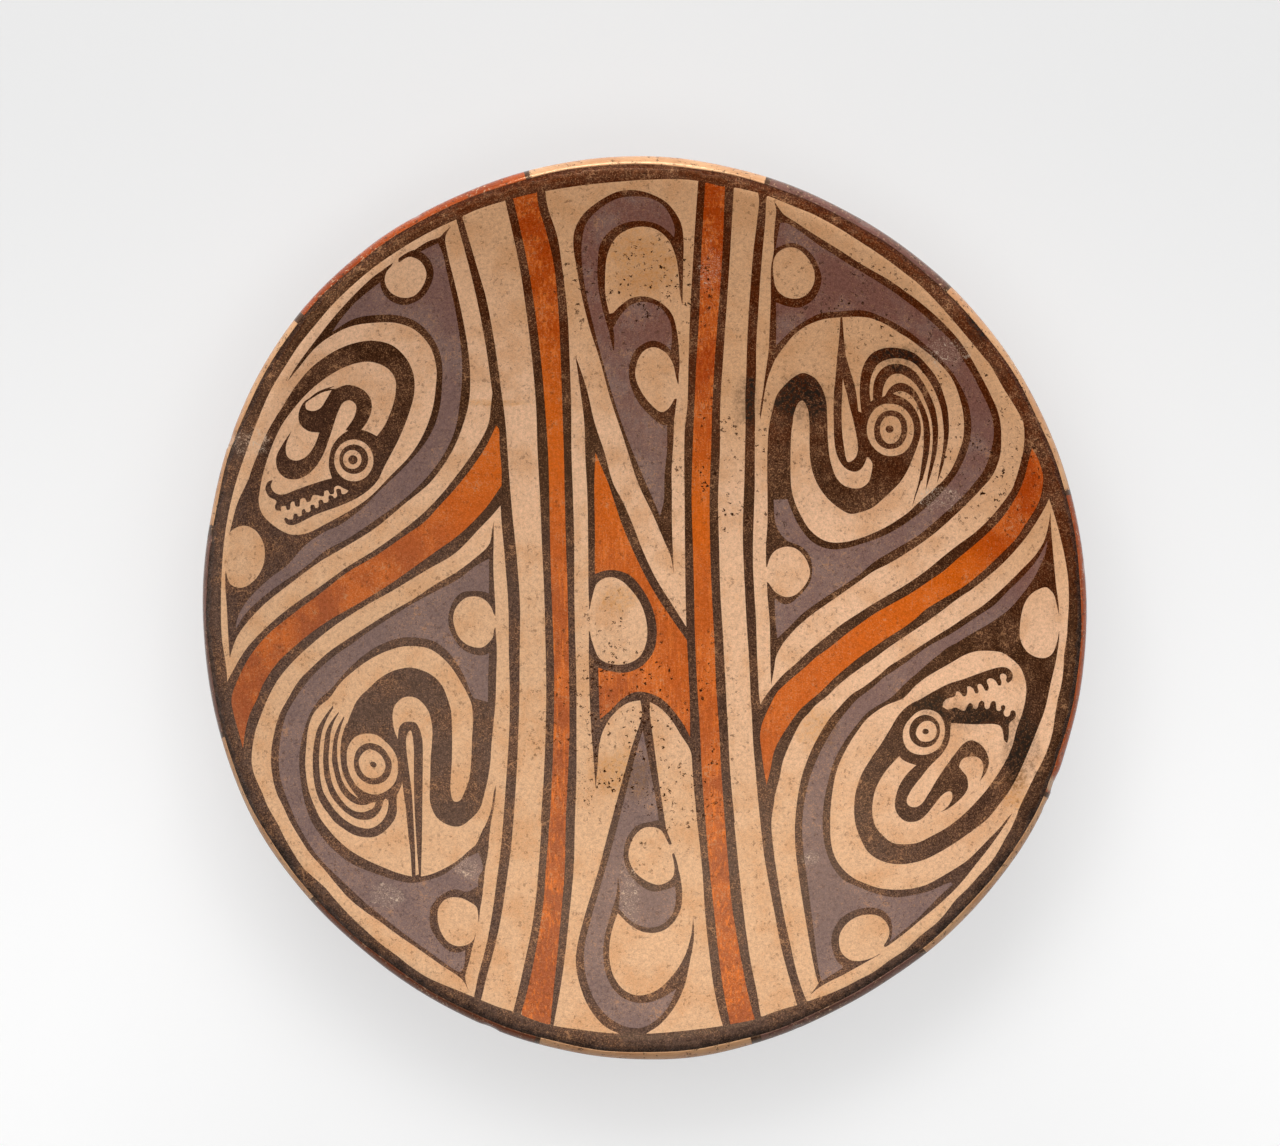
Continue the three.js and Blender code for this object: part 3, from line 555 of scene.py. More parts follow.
# Outline of the big oval, then its cream ground
blob(BLACK, 43.2, 84.8, K, 45.2, 86.7, 48.7, 90, 51, 91.7, 54, 93.5, 57.4, 95.1, 60, 95.5, 63.8, 95.8,
     70, 96.2, 73, 95.8, 77.2, 94.2, 80, 92.9, 83, 91.3, 86, 89.5, 90, 86.4, 95, 82, 100, 76.6, 103.4, 71,
     105.2, 67, 106.2, 63, 106.6, 59, 106.4, 55.5, 105.6, 51.6, 103.9, 47, 101.4, 42.4, 98.4, 38.6,
     95, 34.9, 92.6, 32.7, 89, 29.7, 83, 25.5, 77.2, 22.5, 70, 20, 66.1, 18.9, 61.5, 18.5, 57.4, 19.5,
     54.5, 21.3, 52.2, 23.8, 50.3, 26.7, 48.7, 30, 47.6, 32.7, 46.6, 35.5, K, 44, 45, K, 44, 66, K,
     44, 78, K)
blob(CREAM, 41.6, 77, K, 43.4, 80.9, 46.4, 85, 48.7, 87.8, 52.2, 90.6, 55, 92, 58.5, 93.2, 62.1, 93.7,
     70, 94, 73.5, 93.6, 77.2, 92.3, 80, 90.8, 83, 88.9, 86.2, 87, 90, 84.2, 95, 80.2, 97.9, 77.2,
     100, 74.5, 101.7, 71, 103, 66.9, 103.8, 63.5, 104.2, 58, 103.7, 53.6, 102.5, 50, 101.1, 46.4,
     99.3, 43.2, 97, 40.4, 95, 38.6, 92.6, 36.4, 90, 34.2, 86.2, 30.6, 83, 28.3, 80, 26.4, 75, 23.9, 70, 22,
     66, 21, 62, 20.7, 58.6, 21.5, 55.1, 23.9, 53.2, 26.1, 51.4, 29.2, 49.6, 33, 48.6, 36.2, 48, 40,
     47.9, 45, 48, 53, 48.3, 57.7, 48.7, 61.1, 47, 66, K, 43.4, 68, K, 40, 62, K, 38.6, 62.6, K, 39.5, 69.4,
     40.4, 73.3)
# Neck: up, over and down into the head
blob(BLACK, 40.4, 46, K, 40.4, 50, 40.9, 58.2, 42.1, 64, 43.5, 68.7, 45.8, 71.6, 48.2, 73.9, 51.7, 75.7,
     54, 75.1, 56, 73.8, 57.7, 71.4, 58.9, 68.6, 59.5, 65.8, 59.8, 60, 60, 54, 60.6, 48.4, 61.5, 44.9,
     62.9, 41.6, 65, 39.4, 67.3, 38.5, 70, 38.3, 71.9, 39.1, 73.4, 40.7, 74.1, 43.2, 74.4, 46.4,
     73, 48.6, K, 76, 56, K, 88, 60, K, 90.1, 58.8, 90.1, 55.9, 89.4, 53, 87.9, 49, 86.5, 45.5, 85, 42.6,
     83.3, 40.1, 80, 36.8, 77.7, 34.7, 75.4, 32.7, 73.1, 31.4, 70, 30.4, 67.3, 30, 65, 31, 62.1, 33,
     60, 34.9, 58, 37.4, 56.6, 39.7, 55.4, 42.6, 54.5, 46.1, 54.1, 50, 54, 60, 53.7, 62.9, 52.8, 65.6,
     51.6, 66.8, 50.4, 66, 49.4, 63.8, 48.7, 61.1, 48.3, 57.7, 48, 53, 47.9, 45, 48, 40, K, 44, 38, K)
# Crest: black mass, then its cream gaps
blob(BLACK, 70.8, 62.9, K, 70.5, 66, 70.3, 69.5, 70.5, 73.5, 71.1, 76.8, 72.5, 80, 74.6, 82.3, 77.2, 83.5,
     80, 84, 83, 83.8, 86, 83.1, 89, 81.6, 92.6, 77.9, 95, 74.7, 96.7, 71.2, 98, 67.5, 98.9, 63.5, 99.3, 58,
     98.9, 53, 98.3, 50, 97.5, 46.1, 96.2, 42, 95.1, 39.1, K, 93.5, 43, K, 91.8, 37.6, K, 90.4, 41, K,
     87.4, 32.2, K, 88.3, 38, K, 88, 50, K, 86, 46, K, 72.6, 48.4, K, 70, 52, K, 69.8, 62, K)
blob(CREAM, 73.9, 66.4, K, 73.5, 69.7, 73.8, 73.3, 74.6, 75.9, 75.7, 78, 77.7, 79.5, 80, 80.3, 83, 80.5,
     86, 79.9, 88.4, 78.6, 90.2, 76.7, 92.1, 74.3, 94.1, 71, 95.6, 67.5, 96.7, 64, 97.3, 60, 97.6, 56.5,
     97.5, 53, 97.2, 50, 96.5, 46.1, 95.8, 42, 95.2, 39, K, 94.2, 38, K, 91.9, 37.2, K, 93.2, 42,
     94.4, 46.1, 95.3, 50, 95.7, 54, 95.8, 57.5, 95.5, 60.5, 94.7, 64.6, 93.2, 68.3, 91.5, 71.7, 89.9, 74.2,
     88, 76.4, 86, 77.8, 83, 78.7, 80, 78.4, 77.7, 77.2, 76, 75.2, 75, 72.8, 74.6, 70, 74.6, 67, K)
blob(CREAM, 77.6, 68, K, 77.9, 70.6, 78.8, 73, 80, 74.5, 81.6, 75.4, 83.5, 75.4, 86, 74.2, 88.2, 72.3,
     90, 69.9, 91.5, 66.6, 92.9, 62.9, 93.7, 59.4, 94, 55, 93.8, 50.5, 93.2, 46.5, 92.3, 41.5,
     91.7, 37.3, K, 90, 36, K, 87.5, 32, K, 89.2, 36.4, 90.4, 39.9, 91.5, 43.7, 92.4, 47.6, 93, 51.5,
     93.2, 55.5, 92.7, 60.2, 91.6, 63.6, 90, 67, 88.4, 69.8, 86, 71.9, 83.5, 72.6, 81.5, 72, 79.8, 70.5,
     78.5, 68.3, K)
blob(CREAM, 81.1, 69, K, 82.7, 69.8, 84.7, 69.6, 87, 68.2, 88.7, 66, 90, 62.6, 90.8, 59.5, 91.1, 55,
     90.9, 50, 90.4, 46.2, 89.9, 42.6, 89.2, 39.2, 88.3, 36.2, 87.4, 32.4, K, 86, 34, K, 86.5, 45.5, K,
     87.9, 49, 89.2, 52.5, 90.1, 55.9, 90.1, 58.8, 89.5, 61.4, 88, 64.4, 85.6, 66.9, 83.5, 68.1)
# Eye
blob(CREAM, 80.5, 65.7, 83.5, 65, 86, 62.8, 87.6, 59.6, 87.8, 56, 86.7, 52.4, 84.4, 49.8, 81.3, 48.8,
     78, 49.2, 75, 51.3, 73.1, 54.4, 72.6, 58, 73.6, 61.7, 75.6, 64.3, 78, 65.6)
blob(BLACK, 80.3, 63.6, 83, 63, 85, 60.9, 85.8, 57.8, 85.2, 54.4, 83.2, 51.9, 80.3, 51, 77.6, 51.7,
     75.6, 53.7, 74.9, 57, 75.7, 60.4, 77.7, 62.9)
blob(CREAM, 80.4, 61.8, 82.4, 61.2, 83.6, 59.3, 83.8, 56.8, 83, 54.4, 81.4, 53, 79.3, 52.9, 77.8, 54.3,
     76.9, 56.7, 77.2, 59.4, 78.6, 61.3)
oval(BLACK, 80, 57.5, 2.7, 2.5, 0)
# Beak
blob(BLACK, 64.1, 94.5, K, 64, 92.3, 63.6, 86.5, 63, 81, 62.5, 75, 61.9, 69, 61.8, 62, 62, 55, 62.5, 50.7,
     63.5, 47.8, 65, 45.5, 66.7, 44.2, 69, 43.7, 70.8, 44.6, 71.9, 46.3, 72.6, 48.3, K, 73, 54, K,
     70.8, 62.9, K, 69.8, 63.3, K, 69.5, 66.5, 68.8, 71, 67.6, 75.2, 66.7, 78.2, 65.8, 81.5, 65.3, 86,
     65, 90, 64.7, 94.5, K)
blob(CREAM, 64.8, 74, K, 65.3, 71.7, 66.1, 69, 67, 65, 68, 61.1, 69, 56.5, 69.6, 53, 69.7, 50.7, 69, 48.4,
     67.6, 47.1, 66.4, 46.9, 65.8, 48.4, 65.3, 51.3, 64.7, 55.5, 64.4, 61, 64.6, 69)

# Right of the middle: the rest of the long lines and the orange band
# The lower ends of the two long lines right of the orange stripe
strip(BLACK, (-55, 25.5, 28.5), (-65, 26.2, 29.1), (-75, 27, 30.1), (-85, 27.8, 31.1), (-95, 28.6, 32.2),
      (-105, 30.1, 33.4), (-115, 31.9, 34.9), (-125, 33.9, 36.9), (-133, 36, 38.3), (-137, 37.5, 39.5))
strip(BLACK, (-28, 34.9, 37.6), (-35, 35.3, 38.5), (-45, 35.8, 40), (-55, 36.7, 42), (-62, 37.3, 42.7),
      (-70, 38.1, 41.7), (-80, 39.2, 42.5), (-90, 40.9, 44), (-100, 42.8, 45.7), (-110, 44.7, 47.9),
      (-120, 47.3, 50.2), (-128, 49.6, 53.1), (-132, 51, 55))
# Diagonal band of orange
blob(BLACK, 123.4, 60, K, 123.8, 56.5, 123.5, 51, 122.4, 46, 121, 41.3, 120, 38.5, 118, 35.3, 115, 31.4,
     112.4, 28.4, 107.4, 23.7, 102.3, 20, 97.6, 16.3, 92.5, 12.1, 86, 7.5, 80, 3.9, 75, 1, 70, -2.2,
     63.8, -6.3, 60, -9.5, 55, -13.5, 50, -18.2, 45.8, -21.9, 42.9, -25.1, 40, -28.8, 37.7, -32.5, K,
     36.5, -45, K, 38, -60, K, 41, -72, K, 41.9, -66.7, 42.8, -61.5, 44.5, -55, 45.2, -51.1, 46.4, -47.6,
     49.6, -40.6, 51.6, -37.1, 54, -34.5, 56.3, -31.9, 60, -29, 62.7, -26.3, 66.1, -23.4, 70, -20.5,
     75, -17, 77.2, -15.3, 80, -13.2, 85, -9.8, 91.1, -5.7, 97.2, -1.3, 102.3, 2.6, 106.9, 5.6, 111.1, 8.9,
     116.2, 13.3, 120.8, 18.1, 125, 23.3, 128.9, 29.3, 130.5, 32.1, 131.9, 35.1, K, 135, 38, K, 132, 48, K,
     127, 60, K)
blob(ORANGE, 126.3, 51.3, K, 125.2, 47.2, 123.9, 42, 122.2, 37.6, 120, 33.7, 116.6, 28.8, 112, 23.9,
     107.4, 19.8, 102.3, 15.6, 97.6, 11.5, 92.5, 8, 86, 3.7, 80, 0.4, 75, -2.5, 70, -6, 66.1, -8.9,
     60, -13.8, 56.3, -16.4, 52.8, -19.6, 46.4, -25.1, 43.5, -28, 41.4, -31.9, 40, -34.8, 38.6, -38.3,
     38, -42.3, 38.4, -46.4, 39, -51.1, 39.6, -55.1, 40.1, -58, K, 40.9, -55, 41.5, -52.2, 42.2, -48.3,
     43.4, -45, 45, -42.1, 48.7, -36.5, 51.1, -33.4, 54.5, -30.4, 57.4, -28, 62.7, -22.8, 66.1, -19.9,
     70, -16.7, 75, -13.2, 80, -9.8, 85, -6.6, 88.8, -3.7, 91.6, -1.1, 97.2, 2.4, 104.6, 6.8, 111.1, 12.1,
     116.2, 17, 121, 21.9, 125, 27.9, 126.8, 30.7, 128.7, 34.4, 129.6, 38.1, 129.9, 42.3, 129.1, 45.5,
     128, 48.4)

# Lower right: a crested head with open, toothed jaws and a curled tongue
blob(BLACK, 132.3, 30.7, K, 131.7, 26.9, 131, 23.7, 130, 20.7, 127.8, 17.2, 125.9, 14.9, 123.1, 12.1,
     120, 8.9, 115, 4.2, 110, 0, 105, -3.2, 100, -6.6, 95, -9.7, 89, -13.6, 82.4, -17.9, 80, -19.4,
     77.2, -21.9, 71.9, -26, 67.6, -28.8, 63.2, -33.4, 60.9, -36, 58.6, -39.4, 56.6, -42.9, 54.8, -46.4,
     51.9, -54, 50.3, -61.5, 49.4, -70, 49.4, -77, 50.2, -85, 52.5, -100, 54.2, -110, 55.1, -115,
     56.2, -120, 56.9, -122.4, K, 55.7, -124.1, 54, -126.2, K, 56, -124.5, 58, -123.1, 61.5, -121.2,
     65, -119.5, 70.8, -116.3, 73.7, -114.7, 76.9, -112.9, K, 77, -111, K, 78.2, -110.9, K, 80, -109.8,
     85, -106.1, 90, -101.9, 95, -97.7, 100, -93.1, 104.5, -88.2, 107.7, -84.1, 112.4, -78.3, 117, -71.9,
     120.1, -67, K, 118.2, -69, 115.9, -71.9, 111.2, -76.6, 106.6, -81.2, 104, -83.3, K, 98.4, -78.3, K,
     104.2, -74.6, 107.2, -72.5, 111.8, -69, 116.4, -63.4, 118.8, -60.2, 122.2, -54, 125.4, -46.6, 128, -40,
     130.4, -33.6, 132.4, -24.9, 134.1, -17.6, 135.1, -10.6, 135.2, -8, K, 134, -6, K, 135.1, -3, K,
     135, 0.5, 134.1, 7.5, 133.3, 15.8, 132.6, 23.7, 132.4, 27.4)
blob(PURPLE, 131.3, 21.4, K, 129.9, 18.6, 127.8, 14.9, 124, 10.3, 118.5, 4.9, 113.9, 0.3, 107.8, -3.7,
     100, -8.9, 92.6, -13, 85, -18.5, 81.2, -21.1, 78.6, -22.8, 74.3, -26.6, 69.6, -30.2, 66.7, -33.4,
     62.4, -38.9, 59.2, -44.1, 56.3, -50, 54, -56.3, 52.4, -63.5, 51.7, -71.4, 52.2, -80, 53.4, -89,
     54.8, -100, 56, -110, 57.2, -119, 58, -121.5, K, 61.5, -119.3, 64.6, -117.4, K, 68, -108, K,
     80.1, -108.8, K, 84.1, -105.6, 89, -101.5, 92.4, -98, 96.7, -93.6, 100.5, -90.2, K, 90, -80, K,
     65, -80, K, 64, -60, K, 75, -38, K, 90, -26, K, 96.7, -15, 103.7, -10.8, 113, -5.3, 118.5, -1.3,
     123.1, 3.8, 127.3, 9.8, 130.5, 16.8)
# Outline of the big oval, then its cream ground
blob(BLACK, 131, 18, K, 129.1, 13.5, 127.3, 9.8, 125.4, 6.6, 121.3, 1.4, 118.5, -1.3, 113, -5.2, 106, -9.2,
     100, -13, 95, -16.4, 89, -21.6, 86, -24.2, 80.4, -29.7, 75.4, -32.7, 72.5, -34.8, 70, -37.7,
     65.8, -43.2, 62.1, -50, 59.8, -58, 58.7, -64, 58.3, -70, 58.7, -76, 59.8, -80.6, 62.2, -85.6,
     65, -88.7, 69.6, -90.9, 74.3, -92.8, 79, -94.1, 83, -94.4, 88, -93.6, 92.6, -92.5, 97.9, -90.2,
     100.8, -89.2, K, 104, -83.3, K, 98.4, -78.3, K, 107, -72.8, K, 128, -20, K)
blob(CREAM, 84.5, -29.8, 88.5, -25.7, 92.1, -22.9, 95.4, -20.9, 100, -18.3, 104.3, -15.8, 108, -14.6,
     111, -14.4, 116.5, -15, 120, -17.3, 122.4, -19.7, 123.7, -22.5, 124.4, -26, 124.2, -30, 123.1, -34.8,
     121.3, -40, 119.9, -45.5, 117.6, -50.6, 114.1, -56.1, 111.2, -60, K, 98.4, -78.3, K, 104, -83.3, K,
     101.3, -85, 95, -88.7, 92.1, -90.2, 88, -91.4, 83, -91.9, 77.2, -91.5, 71.9, -89.8, 67.8, -87.8,
     63.8, -83.9, 61.9, -80.2, 61, -76, 60.8, -71, 61, -64.5, 62.4, -55, 64.1, -50, 67.6, -43.5, 70, -40,
     72.2, -37.1, 74.8, -34.8, 79, -32.1)
# Neck and head with its toothed jaws and curled tongue
blob(BLACK, 116.4, -63.4, K, 111.8, -69, 107.2, -72.5, 101.3, -76.6, 95, -80.3, 90, -82.5, 84, -83.6,
     80, -83.3, 76, -81.9, 72.8, -79.4, 70.7, -75.6, 69, -71, 68.5, -66.1, 69, -60.3, 70.9, -54.5,
     74, -49.3, 77.2, -44.7, 80.1, -40, 83.3, -34.9, 86.5, -31.9, 90, -30.1, 94.1, -27.7, 99, -25.2,
     104.3, -23.5, 110, -21.4, 114.9, -19.9, 117, -19.7, 118.8, -20.3, 120, -22, 119.8, -23.8,
     118.5, -24.9, K, 117.8, -24, 118.1, -23, 117.7, -22.2, 116.9, -21.8, 116, -22.2, 115.9, -23,
     116.4, -24.6, 116.1, -25.7, 115.4, -25.7, 114.6, -24.4, 113.6, -23.5, 112.3, -23.4, 111.6, -24.1,
     111.8, -25, 112.3, -26.2, 111.9, -27.4, 111.1, -27.3, 110.4, -26, 109.6, -25.2, 108.8, -25.3,
     108.6, -26.2, 109, -27.5, 108.6, -28.3, 107.9, -28.2, 107.3, -26.9, 106.2, -26, 105.3, -26.1,
     105.3, -27.8, 104.9, -29, 103.9, -29.2, 103.2, -28.2, 102.3, -27.6, 101.7, -27.7, 101.3, -29.1,
     100.2, -29.6, 98.8, -29.9, 97.4, -31.2, K, 97.3, -32.6, K, 99, -33.5, 101.5, -32.8, 103, -33.5,
     104.3, -33.9, 104.9, -33.2, 105.5, -31.9, 106.3, -31.3, 107, -31.9, 107.4, -33.1, 108.1, -33.4,
     108.8, -32.5, 109.2, -31.1, 110, -30.6, 110.8, -31.2, 111, -32.8, 111.7, -33.4, 112.5, -32.9,
     112.9, -31.4, 113.7, -30.7, 114.5, -31, 114.7, -32.4, 115, -33.8, 115.8, -34, 116.4, -33.5,
     116.2, -32.6, 117, -32, 117.7, -32.5, 117.5, -33.5, 117.1, -34.4, 117.5, -35.5, 118.4, -35.8,
     119.2, -35.2, 119.4, -34.1, 120.1, -33.7, 120.9, -34.2, 121.1, -35.3, 120.7, -36.5, 119.6, -37.3,
     118.9, -38.4, 118.9, -41, 118.7, -43, 118.3, -44.4, K, 117.4, -43.6, 117.1, -41.8, 116.7, -40,
     116, -38.8, 114.5, -38.3, 108, -38.3, 103.5, -38.1, 100, -37.9, K, 99.8, -40, 99.7, -42.5, 99, -44.8,
     97, -48, 94.9, -50.1, 92.7, -52.3, 90.2, -55.5, 88, -58.2, 86.3, -60.8, 85.5, -62.9, 85.9, -64.3,
     87.3, -65.1, 88.8, -65, 90.6, -63.8, 92.3, -61.3, 93.6, -59.3, 94.9, -57, 97.9, -52.5, 100.9, -48.4,
     102.6, -46.2, 104.3, -44.4, 106.4, -43.5, 108.4, -44, 110.7, -45.9, 112, -48.4, 112.4, -50.7,
     111.6, -53.5, 110.5, -55.3, 109.4, -56.6, K, 110.2, -54.4, 110.5, -52, 109.9, -50, 108.4, -48.9,
     106, -48.8, 104, -49.4, 103, -50.7, 102.6, -52.1, K, 103.8, -53.6, 105, -55, 105.5, -57, 105.4, -59.1,
     104.2, -61.2, 102, -63.4, 98.7, -65.8, 96, -66.9, K, 97.9, -65.8, 99.4, -64.2, 100.4, -61.9,
     100, -60.2, 98.8, -60.1, 97, -61.3, 94.9, -63.8, 92.3, -67, 90, -69.1, 87.5, -69.9, 84.8, -69.5,
     82.7, -67.6, 81.7, -65.1, 81.9, -62, 83.3, -57.8, 86, -54, 88.7, -51.5, K, 86.3, -50.8, 84.2, -49.7,
     83.1, -48.6, K, 80.8, -51, 78.3, -54, 75.6, -58.8, 74.5, -63.5, 74.4, -67.5, 75.4, -71.4, 77.6, -74.1,
     80.6, -76.5, 84.5, -77.1, 89, -76.6, 93.6, -74.4, 98.7, -71.6, 103.9, -67.6, 109, -62.5, 111.2, -60, K)
# Eye
blob(CREAM, 84.3, -41.6, 85, -38.8, 86.8, -36.3, 89.2, -34.2, 91.7, -33.5, 94, -33.8, 96.2, -35.1,
     97.6, -37.5, 98, -40.4, 97.6, -43, 96.4, -45.5, 94.4, -47.2, 91.8, -48.1, 89, -48, 86.3, -46.8,
     84.8, -44.6)
blob(BLACK, 86.4, -41.3, 86.6, -39.2, 87.6, -37.2, 89.3, -35.8, 91.7, -35.2, 93.9, -35.8, 95.6, -37.3,
     96.4, -39.6, 96.1, -42.2, 94.8, -44.4, 92.7, -45.6, 90.4, -45.7, 88.3, -44.7, 87, -43.2)
blob(CREAM, 88.6, -41.6, 88.8, -40, 89.7, -38.4, 91.3, -37.3, 93.1, -37.2, 94.6, -38.2, 95.3, -40,
     95, -42.1, 93.7, -43.5, 91.9, -43.9, 90.1, -43.6)
oval(BLACK, 91.7, -40.6, 2.1, 1.9)
# Discs at the right and at the bottom
blob(CREAM, 130.9, 6.2, 132.4, 5.2, 133.6, 3.5, 134.3, 0.7, 135.1, -2.8, K, 136, -3.2, K, 136, -7.8, K,
     135.1, -8.2, K, 134.4, -11.8, 133.3, -14.7, 132.1, -16.1, 130.1, -16.8, 127.5, -16.4, 125.1, -15,
     123.4, -12.9, 122.4, -10, 122.4, -6.5, 123.1, -1.8, 124.3, 1.6, 125.9, 3.8, 128.2, 5.4)
blob(BLACK, 65.5, -117.2, K, 63.2, -115.4, 62, -113.1, 61.2, -110.2, 61.2, -107.3, 62.2, -104.2,
     64.3, -101.2, 67.9, -98.9, 71.5, -97.9, 75, -97.8, 78, -98.8, 80.2, -101.2, 80.9, -104.4, 80.6, -107.4,
     79.5, -109.6, K, 76, -108, K, 73, -114.6, K, 69.5, -116.7, K)
blob(CREAM, 63.6, -108.8, 63.8, -106.7, 65, -104.3, 67, -102.2, 69.4, -100.8, 72.2, -100.1, 75, -100.1,
     77.4, -101, 79.1, -102.8, 80, -105.4, 79.5, -107.8, 78.1, -110.1, K, 79, -111.5, K, 77.5, -113.2, K,
     76.7, -112.8, K, 74.8, -113.8, 72.2, -114.7, 69.6, -115.1, 67.3, -114.7, 65.3, -113.4, 64.1, -111.6)

# Inner edge of the black border, clockwise from the top, and the spacing of its points
BORDER_INSIDE = (
    0, 138.4, 10, 138.7, 17.8, 138.1, 26, 136.2, 30, 135.9, 34.8, 134.9, 40.6, 133.2, 45, 131.5, 50, 129.4,
    55, 127.4, 60, 124.8, 65, 121.9, 70, 118.7, 75, 115.5, 80, 112, 85, 108.2, 89, 105.1, 95, 99.3,
    100, 93.7, 105.4, 87.3, 110, 81.7, 113, 78, 115, 74.5, 117.6, 69.9, 120, 66.1, 122.2, 62.3, 125.5, 55,
    127.9, 49, 130, 43, 131.9, 34.9, 132.8, 32.1, 133.8, 28.8, 135.4, 22.8, 136.7, 17.2, 137.4, 13.2,
    137.9, 10, 138.2, 5, 138.2, 0, 137.9, -5, 137.6, -10, 136.7, -15.8, 136.5, -20, 135.9, -25, 134.7, -30,
    133.8, -35, 133.1, -40, 131.8, -45, 129.8, -50, 127.2, -55, 124.8, -60, 122.4, -65, 121.1, -68.5,
    119.6, -71.9, 117.6, -75.4, 115.3, -79.5, 113, -83, 109.4, -87, 105, -91.9, 101.9, -94.8, 97.6, -100.3,
    95, -103, 90, -107, 85, -111.6, 80, -114.9, 75, -118.6, 70, -121.2, 65, -123.8, 60, -125.9, 55, -127.6,
    50, -129.4, 45, -130.8, 40, -132.6, 36.5, -134, 29, -135.5, 25.8, -136.2, 16.4, -137.5, 2.5, -138.6,
    -10, -138.5, -20, -137.4, -29.3, -136, -35, -134.4, -41.9, -131.6, -47, -130, -52.7, -127.7,
    -60, -124.7, -65, -122.7, -70, -120.4, -75, -117.2, -80, -113.3, -85, -109.6, -90, -105.2,
    -94.9, -100.6, -100, -95.1, -102.9, -91.6, -108, -87, -110.3, -84.8, -113.5, -80, -116.4, -75,
    -118.9, -70, -121.8, -65, -123.8, -60, -126.3, -56, -129, -50, -131.5, -43, -133.4, -36, -134.5, -30,
    -135.2, -20, -136.7, -10, -137, 0, -136.8, 10, -136.1, 20, -134.6, 30, -132.2, 40, -128.9, 50,
    -125.2, 60, -120.9, 70, -114.8, 80, -111.5, 85, -107, 90.6, -100.6, 98.1, -93.6, 104.8, -87, 110.3,
    -78, 116.4, -69.9, 121.1, -60.9, 125.4, -54.2, 128.6, -44.8, 131.6, -34.7, 134.2, -20, 136.6,
    -10, 137.6)
BORDER_STEP = 1.5

# Camera of the photograph: where it hangs over the plate, how far off the rim it is, how wide its picture
# is at the rim, and how many rounds it takes to find where a sight line meets the dish
CAMERA_X, CAMERA_Y, CAMERA_OFF = -0.97, 10.84, 2400.0
CAMERA_Z = ROLL_Z + CAMERA_OFF
PHOTO_WIDTH = 415.5
SIGHT_ROUNDS = 4


def plan_radius(xy):
    """Distance from the middle with the hand plan taken out."""
    return np.hypot(xy[:, 0], xy[:, 1]) / hand_plan(np.arctan2(xy[:, 1], xy[:, 0]))


def on_dish(seen):
    """Carries points of the rim plane on to the dish along the camera's sight lines.

    Each round takes the height z at the last place and puts the point at the camera's foot plus the
    way to the seen point, times the camera's height over z, over its distance from the rim.
    """
    camera = np.array([CAMERA_X, CAMERA_Y])
    xy = seen.copy()
    for _ in range(SIGHT_ROUNDS):
        z = face_height(plan_radius(xy))
        xy = camera + (seen - camera) * ((CAMERA_Z - z) / CAMERA_OFF)[:, None]
    return xy


def inside(line, points):
    """Which points lie inside a closed line, by counting the edges crossed on the way to +X."""
    found = np.zeros(len(points), bool)
    low, high = line.min(0), line.max(0)
    near = np.flatnonzero(np.all((points >= low) & (points <= high), axis=1))
    x, y = points[near, 0], points[near, 1]
    odd = np.zeros(len(near), bool)
    for (x0, y0), (x1, y1) in zip(line, np.roll(line, -1, axis=0)):
        if y0 == y1:
            continue
        crosses = (y0 > y) != (y1 > y)
        odd ^= crosses & (x < x0 + (y - y0) * (x1 - x0) / (y1 - y0))
    found[near] = odd
    return found


def paint_at(points):
    """The last paint laid over each point, and black outside the inner edge of the border."""
    colour = np.full(len(points), CREAM)
    for paint, line in PAINT:
        colour[inside(line, points)] = paint
    colour[~inside(border_inside, points)] = BLACK
    return colour


PAINT = [(paint, on_dish(line)) for paint, line in PAINT]
border_inside = on_dish(through(picked(BORDER_INSIDE), step=BORDER_STEP))

# Ring A, where the black border ends on the roll and the lip's own paint begins. The strip of lip that
# shows outside it is narrower at the sides, and its brushed edge wavers: height, waves round the rim
# and shift of each waver
LIP_SEEN, LESS_AT_SIDES, MORE_AT_RIGHT, MORE_AT_TOP = 2.2, 0.55, 0.25, 0.15
WAVERS = ((0.12, 17, 1), (0.1, 31, 0))
compass = np.linspace(0, TURN, ROUND, endpoint=False)
lip_seen = LIP_SEEN - LESS_AT_SIDES * np.cos(2 * compass)
lip_seen = lip_seen + MORE_AT_RIGHT * np.cos(compass) + MORE_AT_TOP * np.sin(compass)
lip_seen += sum(high * np.sin(waves * compass + shift) for high, waves, shift in WAVERS)
ring_roll = np.arccos(np.clip((RIM_RADIUS - lip_seen - ROLL_R) / LIP_RADIUS, -1, 1))
ring_a_r = on_roll(LIP_RADIUS, ring_roll)[0] * hand_plan(compass)
ring_a = np.stack([ring_a_r * np.cos(compass), ring_a_r * np.sin(compass)], 1)


def mesh_object(name, points_mm, faces, uvs, materials, slots_of_faces):
    """A mesh piece from points in mm, triangles, a UV pair per corner and a material number per face."""
    mesh = bpy.data.meshes.new(name)
    faces = np.asarray(faces)
    mesh.vertices.add(len(points_mm))
    mesh.vertices.foreach_set("co", (points_mm * MM).astype(np.float32).ravel())
    mesh.loops.add(faces.size)
    mesh.loops.foreach_set("vertex_index", faces.ravel().astype(np.int32))
    mesh.polygons.add(len(faces))
    mesh.polygons.foreach_set("loop_start", np.arange(0, faces.size, 3, dtype=np.int32))
    mesh.polygons.foreach_set("loop_total", np.full(len(faces), 3, np.int32))
    for material in materials:
        mesh.materials.append(material)
    mesh.polygons.foreach_set("material_index", np.asarray(slots_of_faces, np.int32))
    mesh.update(calc_edges=True)
    layer = mesh.uv_layers.new(name="OFBake")
    layer.data.foreach_set("uv", np.asarray(uvs, np.float32).ravel())
    mesh.polygons.foreach_set("use_smooth", np.ones(len(faces), bool))
    mesh.validate()
    piece = bpy.data.objects.new(name, mesh)
    bpy.context.scene.collection.objects.link(piece)
    return piece


